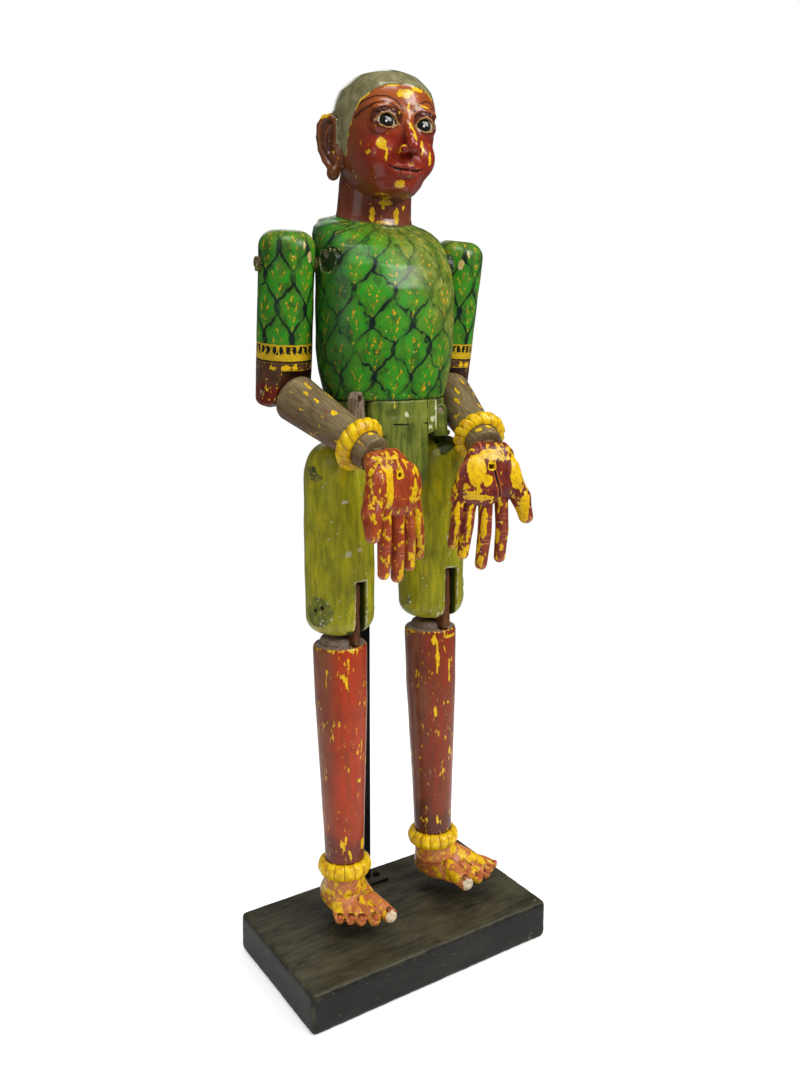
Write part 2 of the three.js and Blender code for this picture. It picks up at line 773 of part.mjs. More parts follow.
function forearmBody() {
  const end = -wristAt + heelRadius + slide;
  const bracelet = braceletLong / 2 + 2;
  const radiusAt = (z) => {
    const share = (z + forearmShoulder) / (forearmShoulder - braceletAt + bracelet);
    return forearmBigRadius + (forearmWristRadius - forearmBigRadius) * share;
  };
  const shaft = turned([
    [0, end],
    [forearmWristRadius - 1, end],
    [forearmWristRadius, end + 2],
    [forearmWristRadius, -braceletAt + bracelet],
    [radiusAt(-90), -90],
    [radiusAt(-forearmShoulder - 3), -forearmShoulder - 3],
    [forearmBigRadius - 2, -forearmShoulder],
    [0, -forearmShoulder],
  ], 26);
  const elbowTongue = plateAcross(outline([
    [-elbowTongueRadius, -forearmShoulder - 6],
    [elbowTongueRadius, -forearmShoulder - 6],
    [0, 0, elbowTongueRadius, 0, 180],
  ]), [-elbowTongueThick / 2, elbowTongueThick / 2]);
  const wristTongue = plateAcross(outline([
    [0, -wristAt, wristTongueRadius, 180, 360],
    [wristTongueRadius, end + 6],
    [-wristTongueRadius, end + 6],
  ]), [-wristTongueThick / 2, wristTongueThick / 2]);
  return cut(joined(shaft, elbowTongue, wristTongue), elbowPin(fit), moved(wristPin(fit), 0, 0, -wristAt));
}

function handBody() {
  const palm = lofted(palmShape.map(([z, halfX, halfY, midX, midY]) =>
    oval(z, halfX, halfY, midX, midY, 2.3, 20)));
  const heel = plateAcross(outline([[0, 0, heelRadius, 0, 342]]), [-22, 21]);
  const digits = fingers.map(([rootX, tipX, tipZ, rootRadius, tipRadius]) =>
    digit([rootX, handMidY, fingerRootZ + 8], [tipX, handMidY + 3, tipZ], rootRadius, tipRadius));
  const thumb = digit(thumbRoot, thumbTip, ...thumbRadii);
  return cut(joined(palm, heel, ...digits, thumb), wristSlot(), wristPin(fit));
}

function armOn(side) {
  const tag = side < 0 ? 'right' : 'left';
  piece(puppet, `torso_plug_${tag}`, sidePlug(plugProud[tag]), coatGreen, side);

  const shoulder = frameIn(puppet, `shoulder_${tag}`, side, [armX, armY, shoulderZ], { z: dowelTurn });
  piece(shoulder, `shoulder_dowel_${tag}`, shoulderDowel(0), rawWood, side);
  const arm = frameIn(shoulder, `arm_swing_${tag}`, side, [0, 0, 0], { x: armHangBack });
  const bore = rod([-armRadius * 2, 0, 0], [armRadius * 2, 0, 0], shoulderDowelRadius + fit);
  const upper = cut(upperArmBody(), bore, ...[elbowNotch(), elbowSlot(), elbowPin(fit)].map(atElbow));
  piece(arm, `upper_arm_${tag}`, upper, coatGreen, side);

  const elbow = frameIn(arm, `elbow_turn_${tag}`, side, [0, 0, -upperArmReach], { z: -elbowTurn });
  piece(elbow, `elbow_pin_${tag}`, elbowPin(0), rawWood, side);
  const forearm = frameIn(elbow, `elbow_${tag}`, side, [0, 0, 0], { x: -elbowBend });
  piece(forearm, `forearm_${tag}`, forearmBody(), forearmBrown, side);
  const bracelet = lobedRing(forearmWristRadius + fit, braceletOuter, braceletLong, ringLobes);
  piece(forearm, `bracelet_${tag}`, moved(bracelet, 0, 0, -braceletAt), ringYellow, side);

  const hand = frameIn(forearm, `wrist_${tag}`, side, [0, 0, -wristAt], { x: wristBend });
  piece(hand, `wrist_pin_${tag}`, wristPin(0), rawWood, side);
  piece(hand, `hand_${tag}`, handBody(), handRed, side);
}

// Legs

const hipPinHalf = thighRadius - 1.5;

function hipLink() {
  const plateTop = pelvisBottomZ + sideLift - 3;
  const plateLow = plateTop - linkPlateThick;
  const inner = hipX - hipTongueThick / 2;
  const outer = hipX + hipTongueThick / 2;
  const lug = plateFacing(outline([
    [lugX - lugHalf, plateLow],
    [lugX + lugHalf, plateLow],
    [lugX, spreadPinZ, lugHalf, 0, 180],
  ]), [lugFrontY, lugFrontY + lugThick]);
  const plate = box([inner, lugX + lugHalf], [lugFrontY, figureY + hipTongueHalf], [plateLow, plateTop]);
  const shoulders = box([inner, outer], [figureY - hipTongueHalf, figureY + hipTongueHalf], [plateLow, plateTop]);
  const tongue = plateAcross(outline([
    [figureY, hipZ, hipTongueRadius, 180, 360],
    [figureY + hipTongueHalf, plateLow + 2],
    [figureY - hipTongueHalf, plateLow + 2],
  ]), [inner, outer]);
  const pin = moved(hipPin(fit), hipX, figureY, hipZ);
  return cut(joined(lug, plate, shoulders, tongue), spreadPin(fit), pin);
}

const hipPin = (room) => rod([-hipPinHalf - room, 0, 0], [thighRadius + hipPinProud, 0, 0], hipPinRadius + room);

function kneePin(room) {
  const far = thighFootRadius + 1.2;
  const shank = rod([-thighFootRadius - 1, 0, 0], [far + 1, 0, 0], kneePinRadius + room);
  if (room) return shank;
  return joined(shank, rod([far, 0, 0], [far + kneeDiscThick, 0, 0], kneeDiscRadius, 20));
}

// The thigh's own frame lies on its axis at the hip pin.
function thighBody() {
  const kneeDrop = hipZ - kneeZ;
  const bottom = -kneeDrop - thighBelowKnee;
  const profile = [[0, bottom]];
  for (const angle of [-90, -60, -30, 0]) {
    const turn = THREE.MathUtils.degToRad(angle);
    profile.push([
      thighFootRadius - thighRound + thighRound * Math.cos(turn),
      bottom + thighRound + thighRound * Math.sin(turn),
    ]);
  }
  for (const angle of [0, 18, 36, 54, 72, 90]) {
    const turn = THREE.MathUtils.degToRad(angle);
    profile.push([thighRadius * Math.cos(turn), thighRadius * Math.sin(turn)]);
  }
  const half = hipTongueThick / 2 + slide;
  const spread = THREE.MathUtils.degToRad(hipSwing + 2);
  const floor = hipTongueRadius + slide;
  const wide = hipTongueHalf / Math.cos(spread) + slide;
  const top = thighRadius + 5;
  const mortise = plateAcross(outline([
    [-floor, -floor],
    [floor, -floor],
    [wide + 2, 0],
    [wide + top * Math.tan(spread), top],
    [-wide - top * Math.tan(spread), top],
    [-wide - 2, 0],
  ]), [-half, half]);
  const slotHalf = kneeSlotWide / 2;
  const slot = box(
    [-slotHalf, slotHalf],
    [-thighRadius - 5, kneeBack + kneeSlotDeep],
    [bottom - 5, -kneeDrop + kneeSlotRise],
  );
  const knee = moved(kneePin(fit), 0, kneeBack, -kneeDrop);
  return cut(turned(profile, 26), mortise, slot, hipPin(fit), knee);
}

// The shin's own frame lies on the knee pin.
function shinBody() {
  const shaft = turned([
    [0, -shinEndBelow],
    [shinEndRadius, -shinEndBelow],
    [shinTopRadius, -shinTopBelow - shinRimRound],
    [shinTopRadius - shinRimRound, -shinTopBelow],
    [collarRadius, -shinTopBelow],
    [collarRadius - 2, -shinTopBelow + collarRise],
    [0, -shinTopBelow + collarRise],
  ], 26);
  const low = -shinTopBelow + 2;
  const tongue = plateAcross(outline([
    [-kneeTongueFront, low],
    [kneeTongueBack, low],
    [0, 0, kneeTongueBack, 0, 80],
    [-kneeTongueFront * 0.5, kneeTongueRise],
    [-kneeTongueFront + 4, kneeTongueRise],
    [-kneeTongueFront, kneeTongueRise - 4],
  ]), [-kneeTongueThick / 2, kneeTongueThick / 2]);
  return cut(joined(shaft, tongue), kneePin(fit), moved(ankleDowel(fit), 0, 0, -shinEndBelow));
}

const ankleDowel = (room) => rod(
  [0, 0, -ankleDowelDown - room],
  [0, 0, ankleDowelUp + room],
  ankleDowelRadius + room,
  16,
);

// The foot's own frame lies on the ankle's axis where it meets the shin.
function footBody(tag) {
  const ankleZ = kneeZ - shinEndBelow - fit;
  const high = ankleZ - soleZ;
  const rings = footShape[tag].map(([y, halfX, tall, midX]) => {
    const ring = [];
    const count = 18;
    for (let i = 0; i < count; i += 1) {
      const angle = i * 2 * Math.PI / count;
      const [c, s] = [Math.cos(angle), Math.sin(angle)];
      const x = midX + halfX * Math.sign(c) * Math.abs(c) ** 0.8;
      const z = tall / 2 + tall / 2 * Math.sign(s) * Math.abs(s) ** 0.7;
      ring.push([x, y, z - high]);
    }
    return ring;
  });
  const instep = lofted(rings);
  const ankle = turned([
    [0, -high + 20],
    [ankleRadius + 3, -high + 20],
    [ankleRadius, -ankletHigh - 2],
    [ankleRadius, -fit],
    [0, -fit],
  ], 20);
  const row = toes[tag].map(([rootX, rootY, tipX, tipY, radius]) =>
    digit([rootX, rootY, radius - high + 1], [tipX, tipY, radius - high], radius, radius * 0.92, 7));
  return cut(joined(instep, ankle, ...row), ankleDowel(fit));
}

function legOn(side) {
  const tag = side < 0 ? 'right' : 'left';
  piece(puppet, `hip_spread_pin_${tag}`, spreadPin(0), rawWood, side);
  piece(puppet, `hip_link_${tag}`, hipLink(), rawWood, side);

  const thigh = frameIn(puppet, `hip_swing_${tag}`, side, [hipX, figureY, hipZ]);
  piece(thigh, `thigh_${tag}`, thighBody(), thighGreen, side);
  piece(thigh, `hip_pin_${tag}`, hipPin(0), rawWood, side);
  const knee = frameIn(thigh, `knee_${tag}`, side, [0, kneeBack, kneeZ - hipZ], { x: -shinLean });
  const pinFrame = frameIn(thigh, `knee_pin_frame_${tag}`, side, [0, kneeBack, kneeZ - hipZ]);
  piece(pinFrame, `knee_pin_${tag}`, kneePin(0), thighGreen, side);
  piece(knee, `shin_${tag}`, shinBody(), shinRed, side);

  const ankle = frameIn(knee, `ankle_${tag}`, side, [0, 0, -shinEndBelow]);
  piece(ankle, `ankle_dowel_${tag}`, ankleDowel(0), rawWood, side);
  const foot = frameIn(ankle, `foot_turn_${tag}`, side, [0, 0, 0]);
  piece(foot, `foot_${tag}`, footBody(tag), footTan, side);
  const anklet = lobedRing(ankleRadius + fit, ankletOuter, ankletHigh, ringLobes);
  piece(foot, `anklet_${tag}`, moved(anklet, 0, 0, -ankletHigh / 2 - fit), ringYellow, side);
}

for (const side of [-1, 1]) {
  armOn(side);
  legOn(side);
}

export default puppet;
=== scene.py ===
import json
import math

import bmesh
import bpy
import numpy as np
from mathutils import Matrix, Vector


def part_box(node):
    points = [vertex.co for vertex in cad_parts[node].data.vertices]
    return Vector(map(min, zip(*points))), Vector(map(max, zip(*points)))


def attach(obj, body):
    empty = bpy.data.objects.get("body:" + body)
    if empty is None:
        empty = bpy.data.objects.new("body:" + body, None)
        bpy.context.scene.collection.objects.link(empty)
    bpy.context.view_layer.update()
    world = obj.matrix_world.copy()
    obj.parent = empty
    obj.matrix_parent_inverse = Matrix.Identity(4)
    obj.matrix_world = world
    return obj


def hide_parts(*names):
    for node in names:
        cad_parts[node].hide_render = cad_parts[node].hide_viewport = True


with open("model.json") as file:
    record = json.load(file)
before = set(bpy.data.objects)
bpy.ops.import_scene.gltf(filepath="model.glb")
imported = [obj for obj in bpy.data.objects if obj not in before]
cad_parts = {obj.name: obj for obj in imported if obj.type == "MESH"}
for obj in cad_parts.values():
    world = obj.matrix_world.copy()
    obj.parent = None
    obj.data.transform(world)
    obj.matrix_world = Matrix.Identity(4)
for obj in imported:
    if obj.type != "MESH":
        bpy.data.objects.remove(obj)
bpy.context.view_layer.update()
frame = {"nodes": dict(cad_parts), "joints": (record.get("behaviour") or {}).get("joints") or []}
coarse = 1.0
mm = 0.001
joints = {joint["name"]: joint for joint in frame["joints"]}


def pivotOf(name):
    return Vector(joints[name]["pos_m"]) * 1000


def nodeBox(name):
    low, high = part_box(name)
    return low * 1000, high * 1000


print("frame loaded")

# Carving: a piece is a distance field on a grid, in millimetres, skinned with quads

cellCorners = [(x, y, z) for x in (0, 1) for y in (0, 1) for z in (0, 1)]
cellEdges = [(a, b) for a in range(8) for b in range(a + 1, 8)
             if sum(abs(p - q) for p, q in zip(cellCorners[a], cellCorners[b])) == 1]


def softMin(a, b, blend):
    if blend <= 0:
        return np.minimum(a, b)
    share = np.maximum(blend - np.abs(a - b), 0) / blend
    return np.minimum(a, b) - share * share * blend * 0.25


def eggField(point, middle, half):
    offset = [(p - m) for p, m in zip(point, middle)]
    inner = np.sqrt(sum((o / h) ** 2 for o, h in zip(offset, half)))
    outer = np.sqrt(sum((o / (h * h)) ** 2 for o, h in zip(offset, half)))
    return inner * (inner - 1) / np.maximum(outer, 1e-6)


def rodField(point, start, end, startRadius, endRadius):
    along = [e - s for s, e in zip(start, end)]
    size = sum(a * a for a in along)
    offset = [p - s for p, s in zip(point, start)]
    share = np.clip(sum(o * a for o, a in zip(offset, along)) / size, 0, 1)
    apart = np.sqrt(sum((o - a * share) ** 2 for o, a in zip(offset, along)))
    return apart - (startRadius + (endRadius - startRadius) * share)


def boxField(point, middle, half, edge=0):
    offset = [np.abs(p - m) - (h - edge) for p, m, h in zip(point, middle, half)]
    outside = np.sqrt(sum(np.maximum(o, 0) ** 2 for o in offset))
    inside = np.minimum(np.maximum(np.maximum(offset[0], offset[1]), offset[2]), 0)
    return outside + inside - edge


def discField(radius, radiusHere, height, middle, half, edge=0):
    across = radius - (radiusHere - edge)
    up = np.abs(height - middle) - (half - edge)
    outside = np.sqrt(np.maximum(across, 0) ** 2 + np.maximum(up, 0) ** 2)
    return outside + np.minimum(np.maximum(across, up), 0) - edge


# Signed distance to a closed outline, negative inside.
def outlineField(u, v, points):
    nearest = None
    crossings = 0
    for (au, av), (bu, bv) in zip(points, points[1:] + points[:1]):
        du, dv = bu - au, bv - av
        share = np.clip(((u - au) * du + (v - av) * dv) / max(du * du + dv * dv, 1e-9), 0, 1)
        apart = (u - au - du * share) ** 2 + (v - av - dv * share) ** 2
        nearest = apart if nearest is None else np.minimum(nearest, apart)
        if dv != 0:
            passes = ((av > v) != (bv > v)) & (u < au + du * (v - av) / dv)
            crossings = crossings + passes
    return np.sqrt(nearest) * np.where(crossings % 2 == 1, -1.0, 1.0)


def arcPoints(middle, radius, start, end, parts=10):
    turns = [math.radians(start + (end - start) * i / parts) for i in range(parts + 1)]
    return [(middle[0] + radius * math.cos(t), middle[1] + radius * math.sin(t)) for t in turns]


# A turned shape from a profile of (radius, height) rows, closed on the axis.
def profileField(radius, height, profile):
    points = [(-row[0], row[1]) for row in reversed(profile)] + [tuple(row) for row in profile]
    return outlineField(radius, height, points)


class Clay:
    def __init__(self, low, high, voxel):
        self.voxel = voxel * coarse
        self.low = np.array(low, float)
        self.axes = [np.arange(a, b + self.voxel, self.voxel, dtype=np.float32) for a, b in zip(low, high)]
        self.field = np.full([len(axis) for axis in self.axes], 60, np.float32)

    def part(self, low, high):
        spans = []
        for axis, a, b in zip(self.axes, low, high):
            spans.append(slice(max(int((a - axis[0]) / self.voxel), 0), int((b - axis[0]) / self.voxel) + 2))
        x, y, z = [axis[span] for axis, span in zip(self.axes, spans)]
        return tuple(spans), (x[:, None, None], y[None, :, None], z[None, None, :])

    def shape(self, make, low, high, blend=0.0, cut=False):
        spans, point = self.part([a - blend - 3 for a in low], [b + blend + 3 for b in high])
        old = self.field[spans]
        if old.size == 0:
            return
        new = make(point)
        self.field[spans] = -softMin(-old, new, blend) if cut else softMin(old, new, blend)

    def whole(self, make, blend=0.0, cut=False):
        self.shape(make, self.low, [axis[-1] for axis in self.axes], blend, cut)

    def egg(self, middle, half, blend=0.0, cut=False):
        low, high = [m - h for m, h in zip(middle, half)], [m + h for m, h in zip(middle, half)]
        self.shape(lambda p: eggField(p, middle, half), low, high, blend, cut)

    def rod(self, start, end, startRadius, endRadius=None, blend=0.0, cut=False):
        endRadius = startRadius if endRadius is None else endRadius
        wide = max(startRadius, endRadius)
        low = [min(a, b) - wide for a, b in zip(start, end)]
        high = [max(a, b) + wide for a, b in zip(start, end)]
        self.shape(lambda p: rodField(p, start, end, startRadius, endRadius), low, high, blend, cut)

    def line(self, points, radii, blend=0.0, cut=False):
        for i in range(len(points) - 1):
            self.rod(points[i], points[i + 1], radii[i], radii[i + 1], blend, cut)

    def block(self, middle, half, edge=0.0, blend=0.0, cut=False):
        low, high = [m - h for m, h in zip(middle, half)], [m + h for m, h in zip(middle, half)]
        self.shape(lambda p: boxField(p, middle, half, edge), low, high, blend, cut)

    def skin(self):
        field, low, voxel = self.field, self.low, self.voxel
        for axis in range(3):   # nothing reaches the grid's edge
            ends = [slice(None)] * 3
            for end in (0, -1):
                ends[axis] = end
                field[tuple(ends)] = np.maximum(field[tuple(ends)], 0.5)
        inside = field < 0
        size = [n - 1 for n in field.shape]
        count = np.zeros(size, np.uint8)
        for dx, dy, dz in cellCorners:
            count += inside[dx:dx + size[0], dy:dy + size[1], dz:dz + size[2]]
        active = (count > 0) & (count < 8)
        cells = np.argwhere(active)
        index = np.full(size, -1, np.int32)
        index[active] = np.arange(len(cells))
        values = np.stack([field[cells[:, 0] + dx, cells[:, 1] + dy, cells[:, 2] + dz]
                           for dx, dy, dz in cellCorners], 1)
        corners = np.array(cellCorners, float)
        total, hits = np.zeros((len(cells), 3)), np.zeros(len(cells))
        for a, b in cellEdges:
            crossing = (values[:, a] < 0) != (values[:, b] < 0)
            share = values[crossing, a] / (values[crossing, a] - values[crossing, b])
            total[crossing] += corners[a] + share[:, None] * (corners[b] - corners[a])
            hits[crossing] += 1
        points = low + (cells + total / hits[:, None]) * voxel
        quads = []
        for axis in range(3):
            u, v = np.eye(3, dtype=int)[(axis + 1) % 3], np.eye(3, dtype=int)[(axis + 2) % 3]
            first = np.moveaxis(inside, axis, 0)[:-1]
            second = np.moveaxis(inside, axis, 0)[1:]
            at = np.moveaxis(first != second, 0, axis)
            node = np.argwhere(at)
            node = node[(node[:, (axis + 1) % 3] > 0) & (node[:, (axis + 2) % 3] > 0)]
            node = node[(node[:, (axis + 1) % 3] < size[(axis + 1) % 3])]
            node = node[(node[:, (axis + 2) % 3] < size[(axis + 2) % 3])]
            around = [node - u - v, node - v, node, node - u]
            quad = np.stack([index[c[:, 0], c[:, 1], c[:, 2]] for c in around], 1)
            outward = inside[node[:, 0], node[:, 1], node[:, 2]]
            quads.append(np.where(outward[:, None], quad, quad[:, ::-1]))
        return Skin(points, np.concatenate(quads))


class Skin:
    def __init__(self, points, quads):
        self.points = points
        self.quads = quads
        self.start = quads.ravel()
        self.end = np.roll(quads, -1, 1).ravel()
        self.count = np.maximum(np.bincount(self.start, minlength=len(points)), 1)

    def around(self, values):
        sums = [np.bincount(self.start, values[self.end, k], len(self.points)) for k in range(3)]
        return np.stack(sums, 1) / self.count[:, None]

    def eased(self, points, share, times):
        for _ in range(times):
            points = points + share * (self.around(points) - points)
        return points

    def normals(self):
        corner = self.points[self.quads]
        face = np.cross(corner[:, 2] - corner[:, 0], corner[:, 3] - corner[:, 1])
        total = np.zeros_like(self.points)
        for k in range(4):
            for axis in range(3):
                total[:, axis] += np.bincount(self.quads[:, k], face[:, axis], len(self.points))
        return total / np.maximum(np.linalg.norm(total, axis=1), 1e-9)[:, None]

    # Smooths the grid's steps, wobbles the surface as a carver's blade does and wears its edges.
    def finished(self, wobble=0.35, wobbleSize=26, wear=0.5, seed=1):
        for share in (0.5, -0.52, 0.5, -0.52):
            self.points = self.eased(self.points, share, 1)
        normal = self.normals()
        self.place = self.points.copy()
        ridge = np.sum((self.points - self.eased(self.points, 0.6, 12)) * normal, 1)
        self.ridge = ridge
        chip = np.clip(ridge, 0, 1.2) * np.clip(lumps(self.points, 7, seed) + 0.35, 0, 1)
        self.points = self.points + normal * (wobble * lumps(self.points, wobbleSize, seed + 5)
                                              - wear * chip)[:, None]
        return self


# Smooth lumps between -1 and 1, one every `size` millimetres.
def lumps(points, size, seed):
    scaled = points / size + seed * 13.7
    base = np.floor(scaled).astype(np.int64)
    share = scaled - base
    share = share * share * (3 - 2 * share)
    total = 0
    for dx, dy, dz in cellCorners:
        key = (base[:, 0] + dx) * 73856093 ^ (base[:, 1] + dy) * 19349663 ^ (base[:, 2] + dz) * 83492791
        key = (key ^ (key >> 13)) * 1274126177 & 0x7FFFFFFF
        weight = (share[:, 0] if dx else 1 - share[:, 0])
        weight = weight * (share[:, 1] if dy else 1 - share[:, 1])
        weight = weight * (share[:, 2] if dz else 1 - share[:, 2])
        total = total + weight * ((key >> 7 & 0xFFFF) / 32767.5 - 1)
    return total


def routeDistance(points, route):
    nearest = np.full(len(points), 1e9)
    for a, b in zip(route, route[1:]):
        nearest = np.minimum(nearest, rodField(points.T, a, b, 0, 0))
    return nearest


# How deep a point lies in the nearest of some egg-shaped patches, in millimetres.
def blobDepth(points, blobs):
    depth = np.full(len(points), -50.0)
    for middle, half in blobs:
        depth = np.maximum(depth, -eggField(points.T, middle, half))
    return depth


print("carving tools ready")

# Objects


def newObject(name, points, faces, material, body, replaced=()):
    mesh = bpy.data.meshes.new(name)
    mesh.from_pydata((np.asarray(points) * mm).tolist(), [], np.asarray(faces).tolist())
    mesh.update()
    mesh.polygons.foreach_set("use_smooth", [True] * len(mesh.polygons))
    thing = bpy.data.objects.new(name, mesh)
    bpy.context.scene.collection.objects.link(thing)
    mesh.materials.append(material)
    return settled(thing, body, replaced)


def settled(thing, body, replaced=()):
    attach(thing, body)
    if replaced:
        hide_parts(*replaced)
    return thing


def setNumbers(thing, name, values):
    values = np.asarray(values, np.float32)
    kind = "FLOAT_VECTOR" if values.ndim == 2 else "FLOAT"
    attribute = thing.data.attributes.new(name, kind, "POINT")
    attribute.data.foreach_set("vector" if values.ndim == 2 else "value", values.ravel())


# Places a finished skin in the world; side -1 mirrors it for the figure's right.
def carved(name, skin, matrix, side, material, body, replaced, marks=None):
    turn = np.array(matrix, float)
    world = skin.points @ turn[:3, :3].T + turn[:3, 3]
    faces = skin.quads
    if side < 0:
        world = world * [-1, 1, 1]
        faces = faces[:, ::-1]
    thing = newObject(name, world, faces, material, body, replaced)
    setNumbers(thing, "place", skin.place)
    setNumbers(thing, "ridge", skin.ridge)
    for key, values in (marks or {}).items():
        setNumbers(thing, key, values)
    return thing


def turned(axis, degrees):
    return Matrix.Rotation(math.radians(degrees), 4, axis)


# A frame with its X along `across` and its -Z along `down`.
def frameAt(origin, across, down):
    x, z = Vector(across).normalized(), -Vector(down).normalized()
    y = z.cross(x).normalized()
    x = y.cross(z)
    return Matrix.Translation(Vector(origin)) @ Matrix((x, y, z)).transposed().to_4x4()


# Places taken from the frame, for the figure's left side

shoulderAt, elbowAt, wristAt = pivotOf("arm_swing_left"), pivotOf("elbow_left"), pivotOf("wrist_left")
hipAt, kneeAt, ankleAt = pivotOf("hip_swing_left"), pivotOf("knee_left"), pivotOf("foot_turn_left")
waistAt, neckAt = pivotOf("waist_turn"), pivotOf("head_turn")
swingAxis = -Vector(joints["arm_swing_left"]["axis"])
elbowAxis = -Vector(joints["elbow_left"]["axis"])
footAxis = Vector(joints["foot_turn_left"]["axis"])
armFrame = frameAt(shoulderAt, swingAxis, elbowAt - shoulderAt)
forearmFrame = frameAt(elbowAt, elbowAxis, wristAt - elbowAt)
elbowInArm = armFrame.inverted() @ frameAt(elbowAt, elbowAxis, elbowAt - shoulderAt)
wristBend = 65.9   # degrees the hand hangs back from the forearm's line
handFrame = Matrix.Translation(wristAt) @ forearmFrame.to_3x3().to_4x4() @ turned("X", wristBend)
thighFrame = Matrix.Translation(hipAt)
shinFrame = frameAt(kneeAt, (1, 0, 0), ankleAt - kneeAt)
level = Matrix.Identity(4)
sides = {"left": 1, "right": -1}
waistMove = Matrix.Translation(waistAt)
headTurned = -6.5   # degrees the head looks to the figure's right
headAxis = Vector(joints["head_turn"]["axis"])
headMove = (Matrix.Translation(neckAt) @ Matrix.Rotation(math.radians(headTurned), 4, headAxis)
            @ Matrix.Translation(-neckAt) @ Matrix.Translation(Vector((0, waistAt.y, neckAt.z))))

# Materials


def tint(code):
    parts = [int(code[i:i + 2], 16) / 255 for i in (0, 2, 4)]
    return tuple(p / 12.92 if p <= 0.04045 else ((p + 0.055) / 1.055) ** 2.4 for p in parts) + (1,)


# Short calls for building a node tree.
class Tree:
    def __init__(self, tree):
        self.tree = tree

    def put(self, kind, inputs=None, **settings):
        node = self.tree.nodes.new(kind)
        for key, value in settings.items():
            setattr(node, key, value)
        for key, value in (inputs or {}).items():
            self.set(node.inputs[key], value)
        return node

    def set(self, socket, value):
        if isinstance(value, bpy.types.NodeSocket):
            self.tree.links.new(value, socket)
        else:
            socket.default_value = value

    def math(self, operation, a, b=0.0, c=0.0, clamp=False):
        return self.put("ShaderNodeMath", {0: a, 1: b, 2: c}, operation=operation, use_clamp=clamp).outputs[0]

    def vector(self, operation, a, b=(0, 0, 0)):
        node = self.put("ShaderNodeVectorMath", {0: a, 1: b}, operation=operation)
        return node.outputs["Value" if operation in ("LENGTH", "DISTANCE", "DOT_PRODUCT") else "Vector"]

    # 0 below low, 1 above high, smooth between.
    def step(self, value, low, high):
        inputs = {"Value": value, "From Min": low, "From Max": high}
        return self.put("ShaderNodeMapRange", inputs, interpolation_type="SMOOTHSTEP").outputs["Result"]

    def mix(self, share, a, b, blend="MIX"):
        node = self.put("ShaderNodeMix", data_type="RGBA", blend_type=blend)
        self.set(node.inputs[0], share)
        self.set(node.inputs[6], a)
        self.set(node.inputs[7], b)
        return node.outputs[2]

    def noise(self, vector, scale=1.0, detail=3.0, rough=0.5, twist=0.0):
        inputs = {"Vector": vector, "Scale": scale, "Detail": detail, "Roughness": rough, "Distortion": twist}
        return self.put("ShaderNodeTexNoise", inputs).outputs["Fac"]

    def cells(self, vector, scale, feature="F1"):
        return self.put("ShaderNodeTexVoronoi", {"Vector": vector, "Scale": scale}, feature=feature)

    def split(self, vector):
        return self.put("ShaderNodeSeparateXYZ", {0: vector}).outputs

    def join(self, x, y, z):
        return self.put("ShaderNodeCombineXYZ", {0: x, 1: y, 2: z}).outputs[0]

    def number(self, name):
        return self.put("ShaderNodeAttribute", attribute_name=name).outputs["Fac"]

    def spot(self, name):
        return self.put("ShaderNodeAttribute", attribute_name=name).outputs["Vector"]

    # Object coordinates in millimetres.
    def world(self):
        return self.scaled(self.put("ShaderNodeTexCoord").outputs["Object"], 1000)

    def scaled(self, vector, by):
        by = (by, by, by) if isinstance(by, (int, float)) else by
        return self.vector("MULTIPLY", vector, by)

    def use(self, group, inputs):
        node = self.put("ShaderNodeGroup", node_tree=group)
        for key, value in inputs.items():
            self.set(node.inputs[key], value)
        return node.outputs


socketKinds = {"vector": "NodeSocketVector", "number": "NodeSocketFloat", "colour": "NodeSocketColor"}


def shaderGroup(name, inputs, outputs, build):
    tree = bpy.data.node_groups.new(name, "ShaderNodeTree")
    for label, (kind, value) in inputs.items():
        socket = tree.interface.new_socket(name=label, in_out="INPUT", socket_type=socketKinds[kind])
        if value is not None:
            socket.default_value = value
    for label, kind in outputs.items():
        tree.interface.new_socket(name=label, in_out="OUTPUT", socket_type=socketKinds[kind])
    t = Tree(tree)
    given = t.put("NodeGroupInput").outputs
    results = build(t, given)
    end = t.put("NodeGroupOutput")
    for label, value in results.items():
        t.set(end.inputs[label], value)
    return tree


# Where the top paint has come off: scattered flakes, larger placed patches and worn edges.
def buildFlaking(t, given):
    size = given["Size"]
    stretch = t.join(t.math("DIVIDE", 1.0, size), t.math("DIVIDE", 1.0, size),
                     t.math("DIVIDE", 1.0, t.math("MULTIPLY", size, given["Stretch"])))
    place = t.vector("MULTIPLY", given["Place"], stretch)
    fine = t.noise(place, 1.0, 4, 0.55, 0.4)
    broad = t.noise(t.scaled(place, (0.22, 0.22, 0.3)), 1.0, 2)
    value = t.math("ADD", t.math("MULTIPLY", fine, 0.72), t.math("MULTIPLY", broad, 0.28))
    limit = t.math("SUBTRACT", 0.8, t.math("MULTIPLY", given["Amount"], 0.4))
    scattered = t.step(value, limit, t.math("ADD", limit, 0.012))
    ragged = t.math("MULTIPLY", t.math("SUBTRACT", fine, 0.5), 9)
    placed = t.step(t.math("ADD", given["Patch"], ragged), 0.1, 0.5)
    edge = t.math("ADD", t.math("MULTIPLY", given["Ridge"], given["Edges"]), t.math("SUBTRACT", fine, 0.5))
    worn = t.step(edge, 0.22, 0.27)
    mask = t.math("MAXIMUM", t.math("MAXIMUM", scattered, placed), worn)
    return {"Mask": mask}


flaking = shaderGroup(
    "flakingPaint",
    {"Place": ("vector", None), "Size": ("number", 4.0), "Stretch": ("number", 1.0), "Amount": ("number", 0.5),
     "Patch": ("number", -10.0), "Ridge": ("number", 0.0), "Edges": ("number", 0.0)},
    {"Mask": "number"}, buildFlaking)


